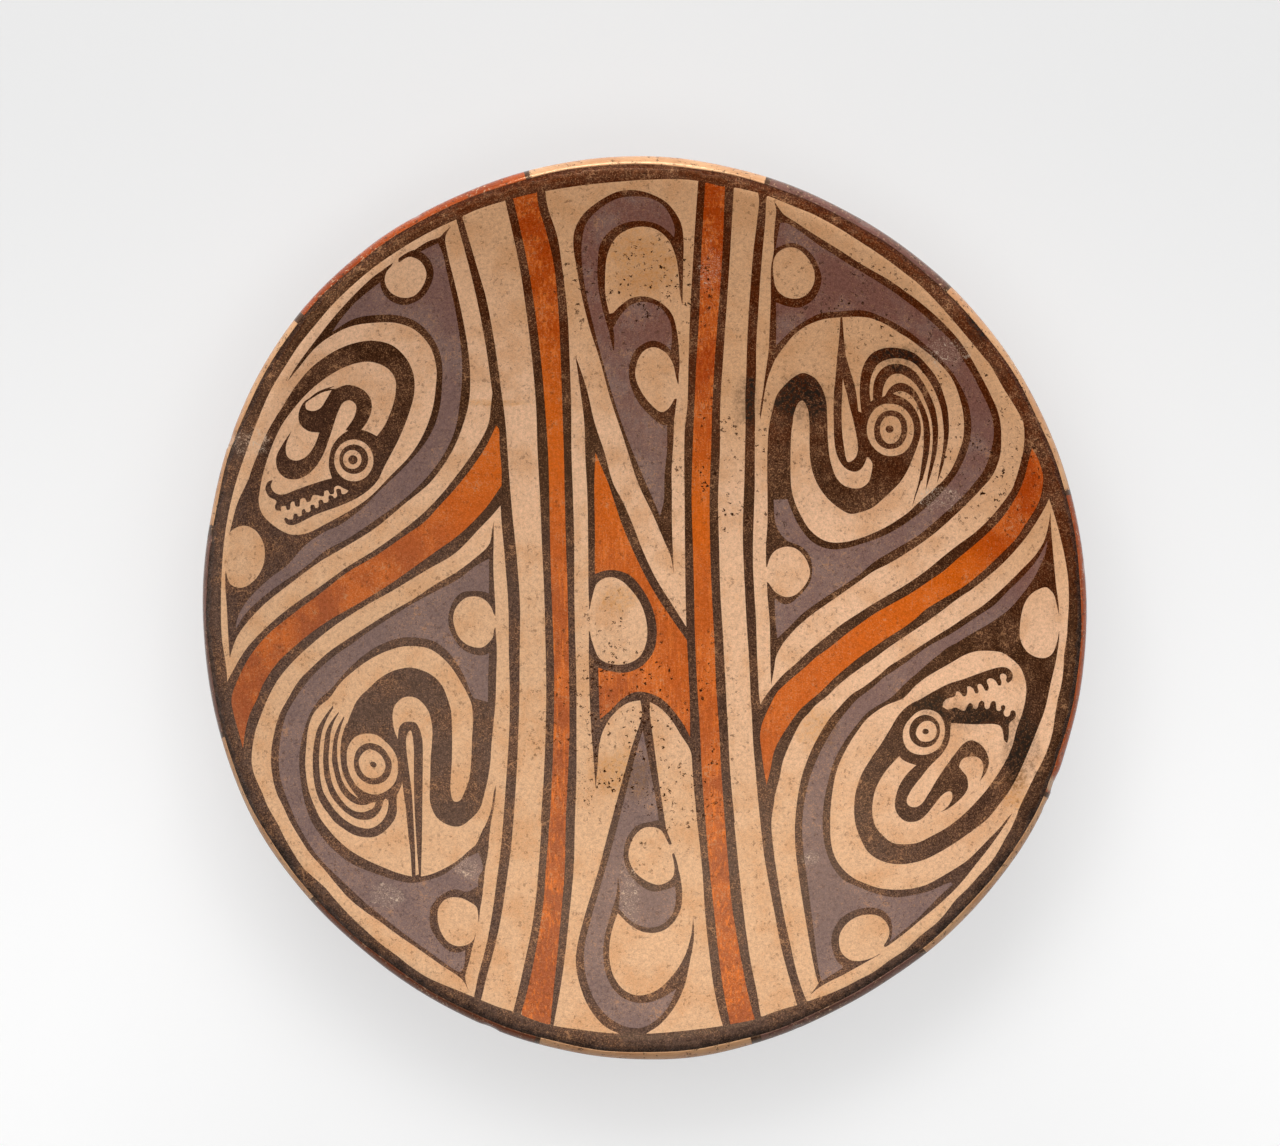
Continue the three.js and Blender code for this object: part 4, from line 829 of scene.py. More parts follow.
def grid_faces(rows, columns):
    """Triangles of a grid whose columns close on themselves. Rows follow each other along the section."""
    i, j = np.meshgrid(np.arange(rows - 1), np.arange(columns), indexing="ij")
    a = i * columns + j
    b = i * columns + (j + 1) % columns
    c, d = a + columns, b + columns
    return np.concatenate([np.stack([a, c, d], -1).reshape(-1, 3), np.stack([a, d, b], -1).reshape(-1, 3)])


def turned(section, outward=1.0):
    """Rows of points of a section turned round the plate, moved along its normals.

    The normals lie a quarter turn to the left of the section's way, or to the right with outward -1.
    """
    way = np.gradient(section, axis=0)
    way /= np.linalg.norm(way, axis=1)[:, None]
    normal = quarter_left(way) * outward
    points = placed(section[:, :1], section[:, 1:], normal[:, :1], normal[:, 1:], compass[None, :])
    return points.reshape(-1, 3)


# Cutting the outlines into the face: how far beside an edge its two paints are read, the shortest edge
# and the smallest triangle that count, and the distance at which the triangulation joins points
PROBE = 0.06
SHORTEST_EDGE, SMALLEST_TWICE_AREA, JOIN = 1e-6, 1e-9, 1e-5

# Points that fill the face: how far the grid reaches, its row pitch and jitter as shares of the spacing,
# how clear of the outlines it stays, and over what length its spacing draws it in from ring A
FILL_REACH, ROW_PITCH, JITTER, FILL_CLEAR, FILL_EDGE = 150, 0.866, 0.12, 0.3, 350

# Half the step that a slope is read over, and how far in from ring A a hidden back comes up to meet it
SLOPE_STEP, COAT_FADE = 0.05, 3


def shown_edges(lines):
    """For each outline, the numbers of its edges that part two paints in the finished picture."""
    start = np.vstack(lines)
    end = np.vstack([np.roll(line, -1, axis=0) for line in lines])
    middle, way = (start + end) / 2, end - start
    length = np.linalg.norm(way, axis=1)
    side = quarter_left(way) / np.maximum(length, TINY)[:, None] * PROBE
    parts = paint_at(middle + side) != paint_at(middle - side)
    keep = parts & (length > SHORTEST_EDGE) & inside(ring_a, middle)
    return [np.flatnonzero(part) for part in np.split(keep, np.cumsum([len(line) for line in lines])[:-1])]


def clear_of(taken, points, gap):
    """Which points are further than gap from every taken point, found by cells of that size."""
    cell = set()
    for x, y in np.floor(taken / gap).astype(int):
        cell.update((x + i, y + j) for i in (-1, 0, 1) for j in (-1, 0, 1))
    return np.array([tuple(c) not in cell for c in np.floor(points / gap).astype(int)])


def flat_triangles(spacing, with_paint):
    """Triangles of the face in plan, out to ring A, with its outlines as edges."""
    around = np.arange(ROUND)
    points, edges = [ring_a], [np.stack([around, (around + 1) % ROUND], 1)]
    count = ROUND
    if with_paint:
        lines = [line for _, line in PAINT] + [border_inside]
        for line, kept in zip(lines, shown_edges(lines)):
            ends = np.concatenate([kept, (kept + 1) % len(line)])
            used, place = np.unique(ends, return_inverse=True)
            points.append(line[used])
            edges.append(place.reshape(2, -1).T + count)
            count += len(used)
    rows = np.arange(-FILL_REACH, FILL_REACH, spacing * ROW_PITCH)
    x, y = np.meshgrid(np.arange(-FILL_REACH, FILL_REACH, spacing), rows)
    x = x + (np.arange(len(rows)) % 2)[:, None] * spacing / 2
    filling = np.stack([x.ravel(), y.ravel()], 1)
    filling += random.uniform(-JITTER, JITTER, filling.shape) * spacing
    filling = filling[inside(ring_a * (1 - spacing / FILL_EDGE), filling)]
    if with_paint:
        filling = filling[clear_of(np.vstack(points), filling, spacing * FILL_CLEAR)]
    points.append(filling)
    flat = [Vector(p) for p in np.vstack(points)]
    out = delaunay_2d_cdt(flat, np.vstack(edges).tolist(), [], 0, JOIN)
    xy = np.array([tuple(v) for v in out[0]])
    triangles = np.array(out[2])
    triangles = triangles[inside(ring_a, xy[triangles].mean(1))]
    a, b, c = (xy[triangles[:, i]] for i in range(3))
    twice_area = (b[:, 0] - a[:, 0]) * (c[:, 1] - a[:, 1]) - (b[:, 1] - a[:, 1]) * (c[:, 0] - a[:, 0])
    triangles[twice_area < 0] = triangles[twice_area < 0][:, ::-1]
    # Points keep their order, so ring A stays first
    return xy, triangles[np.abs(twice_area) > SMALLEST_TWICE_AREA]


def lift(xy, below=0.0):
    """Puts plan points on the painted side, or below it by a depth that fades out at ring A."""
    angle = np.arctan2(xy[:, 1], xy[:, 0])
    r = plan_radius(xy)
    z = face_height(r)
    slope = (face_height(r + SLOPE_STEP) - face_height(r - SLOPE_STEP)) / (2 * SLOPE_STEP)
    up = 1 / np.hypot(1, slope)
    moved = unevenness(xy[:, 0], xy[:, 1]) - chipping(xy[:, 0], xy[:, 1], z)
    if below:
        edge = np.interp(angle % TURN, np.append(compass, TURN), np.append(ring_a_r, ring_a_r[0]))
        moved = moved - below * np.clip((edge / hand_plan(angle) - r) / COAT_FADE, 0, 1)
    outward = moved * slope * up
    return np.stack([xy[:, 0] - outward * np.cos(angle), xy[:, 1] - outward * np.sin(angle),
                     z + moved * up], 1)


# Materials. Shared patterns are node groups that give only values, and each material has its own shader
class Tree:
    """Short calls for adding and joining the nodes of one tree."""

    def __init__(self, tree):
        self.tree = tree

    def add(self, kind, settings=None, **inputs):
        """A new node. An input is named by its label with _ for a space, or by _ and its number."""
        node = self.tree.nodes.new(kind)
        for key, value in (settings or {}).items():
            setattr(node, key, value)
        for key, value in inputs.items():
            self.put(node, int(key[1:]) if key[0] == "_" else key.replace("_", " "), value)
        return node

    def put(self, node, key, value):
        """Gives an input of a node a link, or a value of its own."""
        if isinstance(value, bpy.types.NodeSocket):
            self.tree.links.new(value, node.inputs[key])
        elif value is not None:
            node.inputs[key].default_value = value

    def math(self, operation, a, b=None, c=None):
        return self.add("ShaderNodeMath", {"operation": operation}, _0=a, _1=b, _2=c).outputs[0]

    def times(self, a, b):
        return self.math("MULTIPLY", a, b)

    def times_plus(self, a, b, c):
        return self.math("MULTIPLY_ADD", a, b, c)

    def most(self, *values):
        """The largest of several values."""
        largest = values[0]
        for value in values[1:]:
            largest = self.math("MAXIMUM", largest, value)
        return largest

    def vector(self, operation, a, b=None):
        node = self.add("ShaderNodeVectorMath", {"operation": operation}, _0=a, _1=b)
        return node.outputs["Value" if operation == "LENGTH" else "Vector"]

    def noise(self, position, scale, detail, rough):
        node = self.add("ShaderNodeTexNoise", None, Vector=position, Scale=scale, Detail=detail,
                        Roughness=rough)
        return node.outputs["Fac"]

    def ramp(self, value, low, high, out_low=0.0, out_high=1.0):
        """A smooth step: out_low where the value is at low or short of it, out_high from high on."""
        node = self.add("ShaderNodeMapRange", {"interpolation_type": "SMOOTHSTEP"}, Value=value,
                        From_Min=low, From_Max=high, To_Min=out_low, To_Max=out_high)
        return node.outputs[0]

    def mix(self, amount, a, b, blend="MIX"):
        """Colour a with colour b laid over it by an amount."""
        node = self.add("ShaderNodeMix", {"data_type": "RGBA", "blend_type": blend}, _0=amount)
        self.put(node, 6, a)
        self.put(node, 7, b)
        return node.outputs[2]

    def grey(self, value):
        return self.add("ShaderNodeCombineColor", None, _0=value, _1=value, _2=value).outputs[0]


FLOAT, VECTOR = "NodeSocketFloat", "NodeSocketVector"


def group(name, inputs, outputs, fill):
    """A node group with named sockets. fill(t, sockets) returns the value of each output by name."""
    tree = bpy.data.node_groups.new(name, "ShaderNodeTree")
    for label, kind in inputs:
        tree.interface.new_socket(label, in_out="INPUT", socket_type=kind)
    for label in outputs:
        tree.interface.new_socket(label, in_out="OUTPUT", socket_type=FLOAT)
    entry, leave = tree.nodes.new("NodeGroupInput"), tree.nodes.new("NodeGroupOutput")
    t = Tree(tree)
    for label, value in fill(t, entry.outputs).items():
        t.put(leave, label, value)
    return tree


def linear(red, green, blue):
    """A display colour of 0 to 255, by the sRGB curve, as the linear colour that a socket holds."""
    return tuple(((c / 255 + 0.055) / 1.055) ** 2.4 if c > 10 else c / 255 / 12.92
                 for c in (red, green, blue)) + (1.0,)


# Ragged edge of a blot as a noise of scale, detail and roughness, and where the blot fades
BLOT_NOISE = (330.0, 4.0, 0.62)
BLOT_OUT, BLOT_IN = 1.0, 0.45


def fill_blot(t, sockets):
    """1 inside an ellipsoid of the given reach, fading over its outer half, its edge moved by noise."""
    away = t.vector("SUBTRACT", sockets["Position"], sockets["Centre"])
    away = t.vector("LENGTH", t.vector("DIVIDE", away, sockets["Reach"]))
    rough = t.math("SUBTRACT", t.noise(sockets["Position"], *BLOT_NOISE), 0.5)
    return {"Mask": t.ramp(t.times_plus(rough, sockets["Ragged"], away), BLOT_OUT, BLOT_IN)}


blot = group("Blot", [("Position", VECTOR), ("Centre", VECTOR), ("Reach", VECTOR), ("Ragged", FLOAT)],
             ["Mask"], fill_blot)

# Patterns of the fired surface. Noises are scale, detail and roughness
NOISES = {"Broad": (14.0, 3.0, 0.55), "Cloud": (75.0, 4.0, 0.6), "Grain": (950.0, 3.0, 0.65),
          "Fine": (2400.0, 2.0, 0.6)}
# Spots in cells of a scale: the largest size of a spot, and the share of the cells that have one
PITS = ((230.0, 0.12, 0.15), (430.0, 0.24, 0.46), (760.0, 0.42, 0.62))
SPECKS = (900.0, 0.30, 0.22)
SPOT_EDGE, SHARE_EDGE = 0.03, 0.02
RAGGED_SCALE, RAGGED_BY = 1500.0, 0.0022
# Strokes are noise drawn out lengthwise: turn in radians and scale, and for scratches where they begin
STROKE_SQUEEZE, STROKE_NOISE = 0.06, (2.0, 0.5)
BRUSHED, SCRATCHES, SCRATCH_FULL = (0.12, 1250.0), ((0.5, 1500.0, 0.735), (-0.8, 1700.0, 0.745)), 0.80
# A hairline is a contour of one noise, as wide as HAIR_WIDTH says, where another noise lets it show
HAIR_NOISE, HAIR_WIDTH = (400.0, 2.0, 0.55), (0.036, 0.016)
HAIR_BREAKS, HAIR_SHOWS = (260.0, 1.0, 0.5), (0.55, 0.59)


def fill_wear(t, sockets):
    """Patterns of the fired surface: clouds, grain, open pits, worn specks, brushing and scratches."""
    position = sockets["Position"]
    drift = t.add("ShaderNodeTexNoise", None, Vector=position, Scale=RAGGED_SCALE, Detail=1.0)
    drift = t.vector("SUBTRACT", drift.outputs["Color"], (0.5, 0.5, 0.5))
    ragged = t.vector("ADD", position, t.vector("MULTIPLY", drift, (RAGGED_BY,) * 3))

    def spots(scale, size, share):
        """Ragged spots whose size, and whether a cell has one, hang on the cell's random colour."""
        cells = t.add("ShaderNodeTexVoronoi", {"feature": "F1"}, Vector=ragged, Scale=scale, Randomness=1.0)
        chance = t.add("ShaderNodeSeparateColor", None, _0=cells.outputs["Color"])
        past_edge = t.math("SUBTRACT", cells.outputs["Distance"], t.times(chance.outputs[1], size))
        spot = t.ramp(past_edge, SPOT_EDGE, -SPOT_EDGE)
        return t.times(spot, t.ramp(chance.outputs[0], share, share - SHARE_EDGE))

    def strokes(turn, scale):
        """Noise that runs out into strokes along one way."""
        lain = t.add("ShaderNodeMapping", None, Vector=position, Rotation=(0, 0, turn),
                     Scale=(1.0, STROKE_SQUEEZE, 1.0)).outputs[0]
        return t.noise(lain, scale, *STROKE_NOISE)

    contour = t.math("ABSOLUTE", t.math("SUBTRACT", t.noise(position, *HAIR_NOISE), 0.5))
    patterns = {name: t.noise(position, *noise) for name, noise in NOISES.items()}
    patterns["Pit"] = t.most(*[spots(*pit) for pit in PITS])
    patterns["Scratch"] = t.most(*[t.ramp(strokes(turn, scale), begins, SCRATCH_FULL)
                                   for turn, scale, begins in SCRATCHES])
    patterns["Speck"] = spots(*SPECKS)
    patterns["Stroke"] = strokes(*BRUSHED)
    hair_shows = t.ramp(t.noise(position, *HAIR_BREAKS), *HAIR_SHOWS)
    patterns["Hair"] = t.times(t.ramp(contour, *HAIR_WIDTH), hair_shows)
    return patterns


wear = group("Fired surface", [("Position", VECTOR)],
             [*NOISES, "Pit", "Scratch", "Speck", "Stroke", "Hair"], fill_wear)

# Depth of a blot and step of the bump in metres, and specular level of clay
BLOT_DEPTH, BUMP_STEP, CLAY_SHINE = 0.02, 0.00012, 0.3


def blots(t, position, places, ragged):
    """Mask of blots on the face. A place is x, y, reach across and reach up in mm."""
    masks = []
    for x, y, reach_x, reach_y in places:
        z = float(face_height(np.hypot(x, y)))
        node = t.add("ShaderNodeGroup", {"node_tree": blot}, Position=position)
        node.inputs["Centre"].default_value = (x * MM, y * MM, z * MM)
        node.inputs["Reach"].default_value = (reach_x * MM, reach_y * MM, BLOT_DEPTH)
        node.inputs["Ragged"].default_value = ragged
        masks.append(node.outputs[0])
    return t.most(*masks)


def start_material(name):
    """A new material with its tree, its shader, the position on the object and the worn patterns."""
    material = bpy.data.materials.new(name)
    material.use_nodes = True
    t = Tree(material.node_tree)
    shader = material.node_tree.nodes["Principled BSDF"]
    shader.inputs["Specular IOR Level"].default_value = CLAY_SHINE
    position = t.add("ShaderNodeTexCoord").outputs["Object"]
    w = t.add("ShaderNodeGroup", {"node_tree": wear}, Position=position).outputs
    return material, t, shader, position, w


def bump(t, shader, height):
    """Raises the surface by a height in steps of BUMP_STEP metres."""
    node = t.add("ShaderNodeBump", None, Strength=1.0, Distance=BUMP_STEP, Height=height)
    t.put(shader, "Normal", node.outputs[0])


# Tint of the light that a slip throws back
WARM = (1.0, 0.64, 0.36, 1.0)

# Soot, chalky wear with painted highlights, yellow stains and pitted places of the painted face: x, y,
# reach across and reach up in mm. Some chalk places, such as the one on the purple at the upper right,
# are a painted highlight rather than chalk
SOOT = (
    (122, -51, 6, 12), (94, -33, 7, 5), (51, 68, 4, 12), (52, 68, 13, 11), (34, 67, 6, 11), (84, 81, 12, 5),
    (123, -46, 8, 16), (106, -36, 13, 5), (112, 93, 9, 9))
CHALK_AND_SHEEN_PLACES = (
    (-127, 53, 9, 5), (22, 110, 5, 9), (54.8, -82.3, 4, 3), (-83, -94, 7, 5), (-57, -85, 6, 5),
    (98, 83, 10, 6), (96, 35, 9, 5), (-4, -95, 4, 11))
YELLOW = (
    (121, -60, 6, 10), (0, 112, 16, 14), (-6, -55, 14, 10), (-8, 2, 8, 6), (57, -40, 9, 9),
    (-48, 66.5, 15, 1.4))
PITTED = (
    (0, -40, 42, 60), (0, 105, 40, 30), (30, 45, 26, 36), (110, 60, 40, 50), (70, 100, 30, 20))
VERY_RAGGED, RAGGED, SOFTLY_RAGGED, BARELY_RAGGED = 1.6, 1.2, 1.0, 0.5

# Colours that show through the slip or lie on it, the pale grey of chalk that in places is a painted
# highlight, and the dark brown of the pits
RUST, PALE_CLAY, CHALK_AND_SHEEN = linear(150, 98, 56), linear(182, 132, 92), linear(196, 172, 150)
SOOT_BLACK, PIT_BROWN, YELLOWED = linear(26, 20, 16), linear(46, 20, 6), (0.80, 0.66, 0.42, 1.0)

# Painted shade and sheen: a slip changes colour down the plate as the light falls on it, at heights that
# lean sideways and waver by the broad noise, in metres
LEAN, WAVER, SHADE_TO_MIDDLE, SHEEN_TO_BOTTOM = 0.45, 0.14, (0.115, 0.05), (0.045, -0.06)
# Where a pattern begins to show and shows in full, and for some what it gives before and after that
HAZE, HAZE_SHARE = (0.42, 0.68), 0.5
STREAKS, STREAK_CLOUDS = (0.50, 0.66), (0.36, 0.60, 0.3, 1.0)
STREAK_SIDES, SIDE_SHARE = (0.035, 0.055), 0.2
RUST_GRAIN, RUST_CLOUDS, GRAIN_SPREAD = (0.58, 0.68), (0.42, 0.60), (0.25, 0.75)
THIN_GRAIN, THIN_CLOUDS = (0.56, 0.64), (0.30, 0.65, 0.25, 1.0)
HAIR_CLOUDS, SPECK_SHARE = (0.46, 0.60), 0.9
CHALK_AND_SHEEN_GRAIN, CHALK_AND_SHEEN_HAIRS = (0.50, 0.64, 0.04, 0.4), 0.8
SOOT_GRAIN, YELLOW_GRAIN = (0.42, 0.58, 0.15, 1.0), (0.42, 0.60, 0.25, 0.75)
PIT_CLOUDS, PITS_ELSEWHERE = (0.34, 0.52, 0.1, 1.0), 0.4
ROUGH_SPREAD = 0.24
SLIP_PIT, SLIP_GRAIN, SLIP_SCRATCH = -0.5, 0.3, -0.3


def painted(name, upper, middle, lower, hazy, worn, mottle, sooty, streaks, rusty,
            roughness=0.31, shine=0.2):
    """A slip colour that changes down the plate as painted shade and sheen, under streaks, rust, grain,
    wear, stains and pits.

    The first three colours are the slip in painted shade at the top, as lit in the middle, and with the
    painted light of the bottom, mostly a milky sheen. After the colours come the shares of rubbed places,
    of mottle by the grain, of soot, of brush streaks near the middle of the plate, and of rust.
    """
    material, t, shader, position, w = start_material(name)
    x, y = t.add("ShaderNodeSeparateXYZ", None, _0=position).outputs[:2]
    # How far down the plate a point lies, for the painted shade above and the painted sheen below
    place = t.times_plus(t.math("SUBTRACT", w["Broad"], 0.5), WAVER, t.times_plus(x, LEAN, y))
    colour = t.mix(t.ramp(place, *SHADE_TO_MIDDLE), upper, middle)
    colour = t.mix(t.ramp(place, *SHEEN_TO_BOTTOM), colour, lower)
    colour = t.mix(t.times(t.ramp(w["Cloud"], *HAZE), HAZE_SHARE), colour, hazy)
    streaked = t.ramp(t.math("ABSOLUTE", x), *STREAK_SIDES, streaks, SIDE_SHARE * streaks)
    streaked = t.times(streaked, t.ramp(w["Cloud"], *STREAK_CLOUDS))
    colour = t.mix(t.times(t.ramp(w["Stroke"], *STREAKS), streaked), colour, hazy)
    rust = t.times(t.ramp(w["Grain"], *RUST_GRAIN), t.ramp(w["Cloud"], *RUST_CLOUDS))
    colour = t.mix(t.times(rust, rusty), colour, RUST)
    mottled = [t.ramp(w[noise], *GRAIN_SPREAD, 0.5 - mottle / 2, 0.5 + mottle / 2)
               for noise in ("Grain", "Fine")]
    colour = t.mix(1.0, colour, t.grey(t.math("ADD", *mottled)), "MULTIPLY")
    thin = t.times(t.ramp(w["Fine"], *THIN_GRAIN), t.ramp(w["Cloud"], *THIN_CLOUDS))
    hairs = t.times(w["Hair"], t.ramp(w["Cloud"], *HAIR_CLOUDS))
    rubbed = t.most(thin, w["Scratch"], hairs, t.times(w["Speck"], SPECK_SHARE))
    colour = t.mix(t.times(rubbed, worn), colour, PALE_CLAY)
    # Chalky wear, and in places a painted highlight, as pale grey grain and hairlines
    chalk_and_sheen = t.most(t.times(w["Hair"], CHALK_AND_SHEEN_HAIRS), t.ramp(w["Fine"], *CHALK_AND_SHEEN_GRAIN))
    colour = t.mix(t.times(blots(t, position, CHALK_AND_SHEEN_PLACES, VERY_RAGGED), chalk_and_sheen), colour, CHALK_AND_SHEEN)
    soot = t.times(blots(t, position, SOOT, VERY_RAGGED), sooty)
    colour = t.mix(t.times(soot, t.ramp(w["Grain"], *SOOT_GRAIN)), colour, SOOT_BLACK)
    stain = t.times(blots(t, position, YELLOW, RAGGED), t.ramp(w["Grain"], *YELLOW_GRAIN))
    colour = t.mix(stain, colour, YELLOWED, "MULTIPLY")
    dense = t.times_plus(blots(t, position, PITTED, BARELY_RAGGED), 1 - PITS_ELSEWHERE, PITS_ELSEWHERE)
    pit = t.times(w["Pit"], t.times(dense, t.ramp(w["Cloud"], *PIT_CLOUDS)))
    t.put(shader, "Base Color", t.mix(pit, colour, PIT_BROWN))
    rough = t.times_plus(t.math("ADD", w["Cloud"], w["Grain"]), ROUGH_SPREAD, roughness - ROUGH_SPREAD)
    t.put(shader, "Roughness", t.most(rough, pit))
    shader.inputs["Specular IOR Level"].default_value = shine
    shader.inputs["Specular Tint"].default_value = WARM
    relief = t.times_plus(w["Grain"], SLIP_GRAIN, t.times(w["Scratch"], SLIP_SCRATCH))
    bump(t, shader, t.times_plus(pit, SLIP_PIT, relief))
    return material


# Each slip: painted shade at the top, as lit in the middle, painted sheen or shade at the bottom, then its
# haze and streak colour
cream = painted("Cream slip", linear(204, 157, 117), linear(219, 175, 140), linear(203, 161, 124),
                linear(192, 138, 92), worn=0.15, mottle=0.28, sooty=0.5, streaks=0.25, rusty=0.45)
black = painted("Black line", linear(73, 27, 3), linear(57, 30, 14), linear(80, 60, 51), linear(96, 64, 46),
                worn=0.52, mottle=0.7, sooty=1.0, streaks=0.3, rusty=0.1, roughness=0.28, shine=0.16)
purple = painted("Purple slip", linear(116, 76, 66), linear(116, 89, 83), linear(113, 92, 87),
                 linear(132, 109, 101), worn=0.5, mottle=0.3, sooty=0.5, streaks=0.4, rusty=0.15)
orange = painted("Orange slip", linear(160, 58, 2), linear(194, 86, 3), linear(148, 75, 42),
                 linear(208, 106, 40), worn=0.6, mottle=0.28, sooty=0.6, streaks=0.95, rusty=0.2)

LIP_CLOUDS, FLECKS, FLECK_CLOUDS = (0.35, 0.65), (0.58, 0.66), (0.35, 0.6, 0.1, 0.8)
LIP_CHIP, LIP_CHIP_SHARE = (132.0, -57.5, 2.2, 3.4), 0.8
LIP_PITS, LIP_SHINE, LIP_SMOOTHEST, LIP_ROUGH_SPREAD = 0.7, 0.6, 0.12, 0.18
LIP_PIT, LIP_GRAIN = -1.2, 0.4
FLECK_CLAY, LIP_PIT_BROWN = linear(206, 168, 132), linear(60, 38, 26)


def lip_paint(name, colour_a, colour_b):
    """Burnished paint of the lip, worn through to pale clay in flecks and at one large chip."""
    material, t, shader, position, w = start_material(name)
    colour = t.mix(t.ramp(w["Cloud"], *LIP_CLOUDS), colour_a, colour_b)
    flecks = t.times(t.ramp(w["Grain"], *FLECKS), t.ramp(w["Cloud"], *FLECK_CLOUDS))
    chipped = blots(t, position, [LIP_CHIP], SOFTLY_RAGGED)
    colour = t.mix(t.most(flecks, t.times(chipped, LIP_CHIP_SHARE)), colour, FLECK_CLAY)
    t.put(shader, "Base Color", t.mix(t.times(w["Pit"], LIP_PITS), colour, LIP_PIT_BROWN))
    t.put(shader, "Roughness", t.times_plus(w["Grain"], LIP_ROUGH_SPREAD, LIP_SMOOTHEST))
    shader.inputs["Specular IOR Level"].default_value = LIP_SHINE
    shader.inputs["Specular Tint"].default_value = WARM
    bump(t, shader, t.times_plus(w["Pit"], LIP_PIT, t.times(w["Grain"], LIP_GRAIN)))
    return material


LIP_PAINTS = {
    "Lip cream": ((206, 158, 116), (190, 138, 98)),
    "Lip purple": ((112, 76, 70), (92, 60, 52)),
    "Lip orange red": ((164, 70, 24), (138, 54, 18)),
    "Lip dark red": ((112, 52, 30), (90, 42, 24)),
    "Lip black": ((62, 38, 26), (74, 48, 36)),
}
lip_paints = [lip_paint(name, linear(*a), linear(*b)) for name, (a, b) in LIP_PAINTS.items()]

CLAY_CLOUDS, FIRE_CLOUDS, FIRE_SHARE = (0.3, 0.7), (0.52, 0.66), 0.75
CLAY_GRAIN, CLAY_ROUGHNESS = (0.25, 0.75, 0.84, 1.14), (0.3, 0.7, 0.62, 0.8)
GRIT_SHARE, CLAY_PITS = 0.5, 0.8
GRIT, CLAY_PIT_BROWN = linear(214, 190, 160), linear(70, 44, 30)
CLAY_PIT, CLAY_RELIEF, WIPED_RELIEF = -1.8, 0.6, 0.5


def bare_clay(name, colour_a, colour_b, smoke):
    """Unpainted clay: a wiped surface with fire clouds, grit and pits."""
    material, t, shader, position, w = start_material(name)
    colour = t.mix(t.ramp(w["Cloud"], *CLAY_CLOUDS), colour_a, colour_b)
    colour = t.mix(t.times(t.ramp(w["Broad"], *FIRE_CLOUDS), FIRE_SHARE), colour, smoke)
    colour = t.mix(1.0, colour, t.grey(t.ramp(w["Grain"], *CLAY_GRAIN)), "MULTIPLY")
    colour = t.mix(t.times(w["Speck"], GRIT_SHARE), colour, GRIT)
    t.put(shader, "Base Color", t.mix(t.times(w["Pit"], CLAY_PITS), colour, CLAY_PIT_BROWN))
    t.put(shader, "Roughness", t.ramp(w["Cloud"], *CLAY_ROUGHNESS))
    relief = t.math("ADD", t.times(w["Grain"], CLAY_RELIEF), t.times(w["Stroke"], WIPED_RELIEF))
    bump(t, shader, t.times_plus(w["Pit"], CLAY_PIT, relief))
    return material


clay = bare_clay("Wiped clay", linear(176, 118, 80), linear(158, 102, 68), linear(96, 70, 54))
worn_clay = bare_clay("Worn foot clay", linear(190, 138, 100), linear(170, 116, 80), linear(120, 88, 66))

# UV maps: the plan in the middle of the square, and hidden faces small in one corner of it
PLAN_TO_UV, UV_MIDDLE = 1 / 300, 0.5
HIDDEN_SCALE, HIDDEN_PLACE = 0.11, 0.06
UV_STRIPS, STRIP_LENGTH, STRIP_START = 12, 0.99, 0.005
SHOWN_STRIP, HIDDEN_STRIP, FOOT_STRIP = (0.03, 0.89), (0.93, 0.97), (0.02, 0.97)


def shown_uv(xy):
    """UV of plan points in the middle of the square."""
    return xy * PLAN_TO_UV + UV_MIDDLE


def hidden_uv(xy):
    """UV of plan points that are out of sight, in a corner of the square."""
    return xy * PLAN_TO_UV * HIDDEN_SCALE + HIDDEN_PLACE


def strip_uv(rows, low_v, high_v):
    """UV corners for grid_faces: the ring is cut into sections that lie as strips one above another."""
    per = ROUND // UV_STRIPS
    i, j = np.meshgrid(np.arange(rows - 1), np.arange(ROUND), indexing="ij")
    u0, u1 = ((j % per + k) / per * STRIP_LENGTH + STRIP_START for k in (0, 1))
    v0, v1 = ((j // per + low_v + (high_v - low_v) * (i + k) / (rows - 1)) / UV_STRIPS for k in (0, 1))
    a, b, c, d = (np.stack([u, v], -1) for u, v in ((u0, v0), (u1, v0), (u0, v1), (u1, v1)))
    return np.concatenate([np.stack([a, c, d], 2).reshape(-1, 2), np.stack([a, d, b], 2).reshape(-1, 2)])


def flipped(faces, uvs):
    """The same triangles and UV corners, facing the other way."""
    return faces[:, ::-1], uvs.reshape(-1, 3, 2)[:, ::-1].reshape(-1, 2)


def lip_surface(rows, sunk):
    """Rows of points from ring A round the roll to its end, sunk by a depth times sin(pi * t) on the way."""
    t = np.linspace(0, 1, rows)[:, None]
    roll = ring_roll[None, :] + (ROLL_END - ring_roll[None, :]) * t
    r, z = on_roll(LIP_RADIUS - sunk * np.sin(np.pi * t), roll)
    return placed(r, z, np.cos(roll), np.sin(roll), compass[None, :])


# Painted face, with a coarse hidden back that meets it at ring A
BACK_STEP = 9.0
LIP_ROWS, LIP_BACK_ROWS = 26, 6
lip_outer, lip_inner = lip_surface(LIP_ROWS, 0.0), lip_surface(LIP_BACK_ROWS, COAT)
xy_top, faces_top = flat_triangles(GRID_STEP, True)
xy_low, faces_low = flat_triangles(BACK_STEP, False)
face_paint = paint_at(xy_top[faces_top].mean(1))
top, low = lift(xy_top), lift(xy_low, COAT)
top[:ROUND] = lip_outer[0]
faces_low = np.where(faces_low < ROUND, faces_low, faces_low + len(top) - ROUND)[:, ::-1]
low_uv = hidden_uv(np.vstack([xy_top, xy_low[ROUND:]])[faces_low.ravel()])
painted_face = mesh_object(
    "painted_face", np.vstack([top, low[ROUND:]]), np.vstack([faces_top, faces_low]),
    np.vstack([shown_uv(xy_top)[faces_top.ravel()], low_uv]), [cream, black, purple, orange],
    np.r_[face_paint, np.zeros(len(faces_low), int)])

